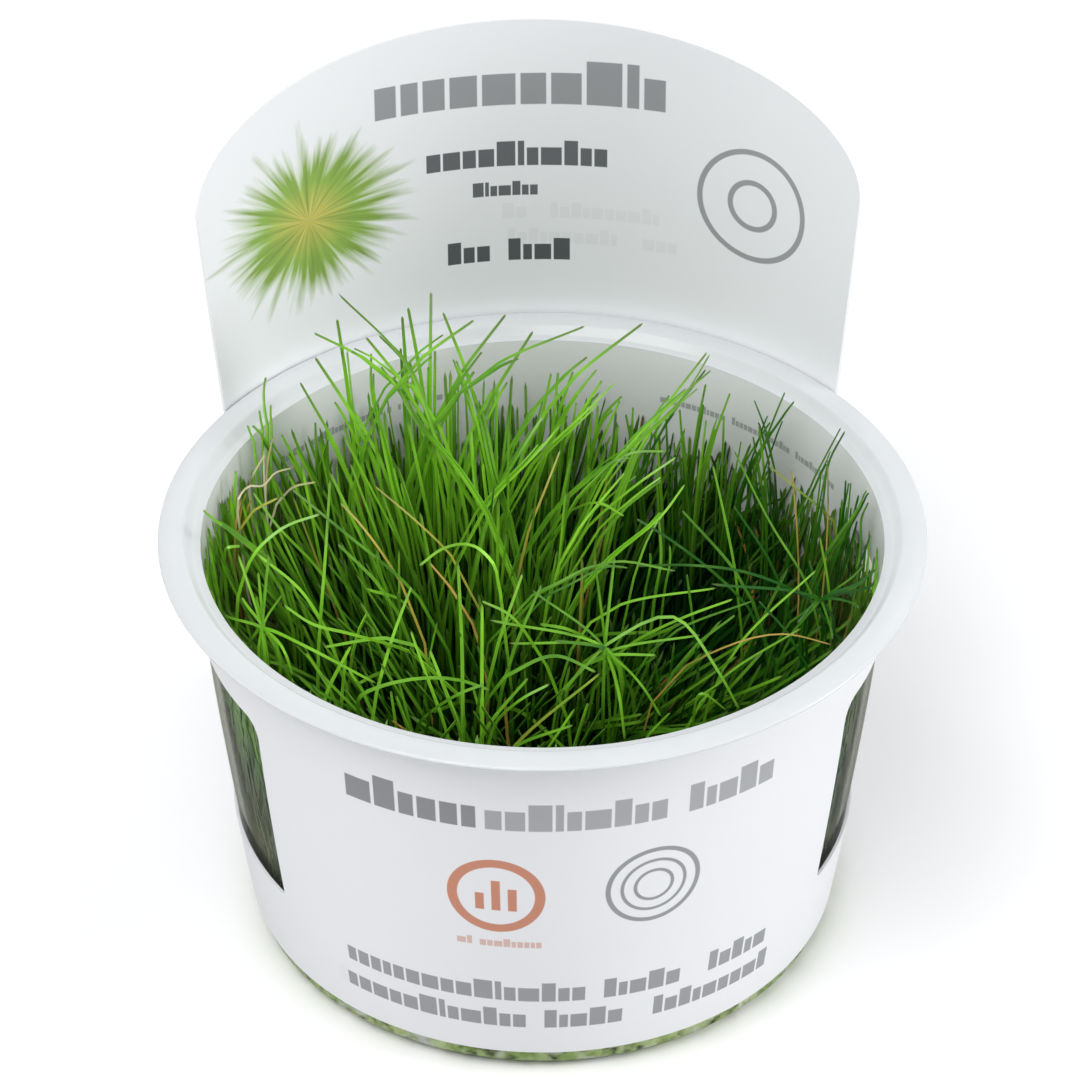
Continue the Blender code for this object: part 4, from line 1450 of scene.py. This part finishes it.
def wall_blade(side, rng):
    """A low blade that is pressed against the wall behind one of the side windows."""
    angle = rng.uniform(WINDOW_FRONT, WINDOW_BACK)
    tall = rng.uniform(*WALL_BLADE_HEIGHTS)
    turn = rng.gauss(0, WALL_BLADE_TURN)
    places = []
    for share, height in ((0, FOOT_LEVEL), (WALL_KNEE_TURN, tall * WALL_KNEE_HEIGHT), (1, tall)):
        away = wall_radius(height) + rng.uniform(*WALL_BLADE_PUSH)
        around = angle + turn * share
        places.append(Vector((side * away * math.sin(around), -away * math.cos(around), height)))
    half_width = chosen_width(rng, WALL_BLADE_WIDTHS)
    return Blade(tuple(places), 0, half_width, held(rng.gauss(*WALL_BLADE_TONE)), 0)


def nearest_tuft(crowns, blade):
    """Name of the tuft whose crown is nearest to a blade's foot."""
    return min(TUFTS, key=lambda name: (crowns[name] - blade.places[0]).length)


def root_thread(rng):
    """A pale root that wanders through the jelly."""
    angle = rng.uniform(0, TURN)
    reach = (wall_radius(0) - ROOT_MARGIN) * math.sqrt(rng.uniform(*ROOT_PLACES))
    foot = place_round(angle, reach, JELLY_TOP.z)
    turn = angle + rng.uniform(-ROOT_TURN, ROOT_TURN)
    end = place_round(turn, reach, rng.uniform(*ROOT_ENDS))
    aside = Vector((rng.uniform(-1, 1), rng.uniform(-1, 1), rng.uniform(-1, 0)))
    knee = (foot + end) / 2 + aside * ROOT_BEND
    knee.z = max(knee.z, ROOT_ENDS[0])
    return Blade((foot, knee, end), 0, ROOT_HALF_WIDTH * rng.uniform(*ROOT_WIDTHS), 0, 0)


def jelly_mesh(rng):
    """The set jelly, which fills the foot of the cup and is wavy on top."""
    wide, top, low = JELLY_TOP.x, JELLY_TOP.z, JELLY_LOW.z
    low_radius = wall_radius(0) - settings("cup").wall - FOOT_ROUNDING - CLEARANCE
    side = BASE_THICKNESS + FOOT_ROUNDING + CLEARANCE
    rings = [(wide * step / JELLY_RINGS, top - JELLY_WAVE) for step in range(JELLY_RINGS)]
    mesh = spin_outline([*rings, (wide, top), (wide, side), (low_radius, low), (0, low)])
    for vert in mesh.verts:
        if vert.co.z > top - JELLY_WAVE * 2 and vert.co.xy.length < wide * WAVY_SHARE:
            vert.co.z += rng.uniform(-1, 1) * JELLY_WAVE
    return mesh


def standout_blades(rng):
    """Blades that the photo shows one by one, rosettes, and blades pressed against the wall."""
    tall = [blade for seen in TALL_BLADES for blade in bundle(seen_blade(seen, TALL_LEAN, rng), rng)]
    lying = [seen_blade(seen, LYING_LEAN, rng) for seen in LYING_BLADES]
    splayed = [blade for seen in ROSETTES for blade in rosette(seen, rng)]
    pressed = [wall_blade(side, rng) for side in (-1, 1) for _ in range(WALL_BLADES)]
    return tall + lying + splayed + pressed


class HAIRGRASS_OT_cup(bpy.types.Operator):
    """Add the milky clear cup"""
    bl_idname = "hairgrass.cup"
    bl_label = "Add Cup"

    def execute(self, context):
        mesh = spin_outline(cup_outline())
        round_edges(mesh, EDGE_ROUNDING)
        for face in mesh.faces:
            face.material_index = plastic_at(face.calc_center_median())
        materials = [wall_material(), rim_material(), bare_material(), foot_material()]
        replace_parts(finish_piece("cup_clear", mesh, materials), "cup")
        return {"FINISHED"}


class HAIRGRASS_OT_sleeve(bpy.types.Operator):
    """Add the printed card sleeve with its arched tab"""
    bl_idname = "hairgrass.sleeve"
    bl_label = "Add Sleeve"

    def execute(self, context):
        materials = [outer_card_material(), inner_card_material()]
        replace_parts(finish_piece("sleeve_printed", sleeve_mesh(), materials), "sleeve")
        return {"FINISHED"}


class HAIRGRASS_OT_jelly(bpy.types.Operator):
    """Add the jelly and the roots in it"""
    bl_idname = "hairgrass.jelly"
    bl_label = "Add Jelly"

    def execute(self, context):
        rng = random.Random(settings("grass").seed)
        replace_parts(finish_piece("jelly", jelly_mesh(rng), [jelly_material()]), "gel")
        roots = [root_thread(rng) for _ in range(ROOT_COUNT)]
        grow("roots", roots, root_material())
        return {"FINISHED"}


class HAIRGRASS_OT_tufts(bpy.types.Operator):
    """Add a tuft of thread blades on every crown"""
    bl_idname = "hairgrass.tufts"
    bl_label = "Add Tufts"

    def execute(self, context):
        rng = random.Random(settings("grass").seed)
        material = grass_material()
        crowns = {name: crown(name) for name in TUFTS}
        blades = {name: [fitting_blade(crowns[name], rng) for _ in range(blade_count(crowns[name]))]
                  for name in TUFTS}
        for blade in standout_blades(rng):
            blades[nearest_tuft(crowns, blade)].append(blade)
        for name in TUFTS:
            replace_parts(grow(name + "_blades", blades[name], material), name)
        return {"FINISHED"}


def face_ahead(item, place, ahead):
    """Puts a light or the camera at a place and points it ahead."""
    item.location = place
    item.rotation_euler = ahead.to_track_quat("-Z", "Y").to_euler()


def add_softbox(name, box):
    """Adds a rectangular soft light that points at the cup."""
    data = bpy.data.lights.new(name, "AREA")
    data.shape = "RECTANGLE"
    data.size, data.size_y = box.size
    data.energy = settings("stage").key * box.share
    face_ahead(add_object(name, data), box.place, LIGHT_AIM - Vector(box.place))


def add_floor():
    """Adds the pale floor, and gives it."""
    mesh = bmesh.new()
    bmesh.ops.create_grid(mesh, x_segments=1, y_segments=1, size=FLOOR_REACH)
    floor = add_object("floor", mesh_data("floor", mesh))
    floor.data.materials.append(floor_material())
    return floor


def add_sky(scene):
    """Adds the even light from all round."""
    scene.world = bpy.data.worlds.new("sky")
    scene.world.use_nodes = True
    background = scene.world.node_tree.nodes["Background"].inputs
    background["Color"].default_value = SKY_COLOUR
    background["Strength"].default_value = settings("stage").sky


def add_camera(scene):
    """Adds the camera that sees what the photo shows."""
    eye, _, _, ahead = camera_axes()
    scene.camera = add_object("camera", bpy.data.cameras.new("camera"))
    scene.camera.data.sensor_width = SENSOR_WIDTH
    scene.camera.data.lens = CAMERA_LENS
    scene.camera.data.clip_start = CAMERA_CLIP
    face_ahead(scene.camera, eye, ahead)


class HAIRGRASS_OT_stage(bpy.types.Operator):
    """Add the floor, the soft lights and the camera"""
    bl_idname = "hairgrass.stage"
    bl_label = "Add Stage"

    def execute(self, context):
        floor = add_floor()
        add_sky(context.scene)
        for name, box in SOFTBOXES.items():
            add_softbox(name, box)
        add_camera(context.scene)
        context.scene.view_settings.view_transform = "Standard"
        return {"FINISHED"}


class HAIRGRASS_PT_panel(bpy.types.Panel):
    """The values and the steps of the hairgrass cup"""
    bl_idname = "HAIRGRASS_PT_panel"
    bl_label = "Hairgrass Cup"
    bl_space_type = "VIEW_3D"
    bl_region_type = "UI"
    bl_category = "Hairgrass"

    def draw(self, context):
        for group, kind, operator in STEPS:
            box = self.layout.box()
            for name in kind.__annotations__:
                box.prop(settings(group), name)
            box.operator(operator.bl_idname)


STEPS = (
    ("cup", CupSettings, HAIRGRASS_OT_cup),
    ("sleeve", SleeveSettings, HAIRGRASS_OT_sleeve),
    ("jelly", JellySettings, HAIRGRASS_OT_jelly),
    ("grass", GrassSettings, HAIRGRASS_OT_tufts),
    ("stage", StageSettings, HAIRGRASS_OT_stage),
)


def register():
    """Registers the settings, the operators and the panel."""
    for group, kind, operator in STEPS:
        bpy.utils.register_class(kind)
        bpy.utils.register_class(operator)
        setattr(bpy.types.Scene, "hairgrass_" + group, PointerProperty(type=kind))
    bpy.utils.register_class(HAIRGRASS_PT_panel)


def unregister():
    """Takes away what register added."""
    bpy.utils.unregister_class(HAIRGRASS_PT_panel)
    for group, kind, operator in reversed(STEPS):
        delattr(bpy.types.Scene, "hairgrass_" + group)
        bpy.utils.unregister_class(operator)
        bpy.utils.unregister_class(kind)


def main():
    """Adds every piece and the stage."""
    register()
    make_groups()
    bpy.ops.hairgrass.cup()
    bpy.ops.hairgrass.sleeve()
    bpy.ops.hairgrass.jelly()
    bpy.ops.hairgrass.tufts()
    bpy.ops.hairgrass.stage()


if __name__ == "__main__":
    main()
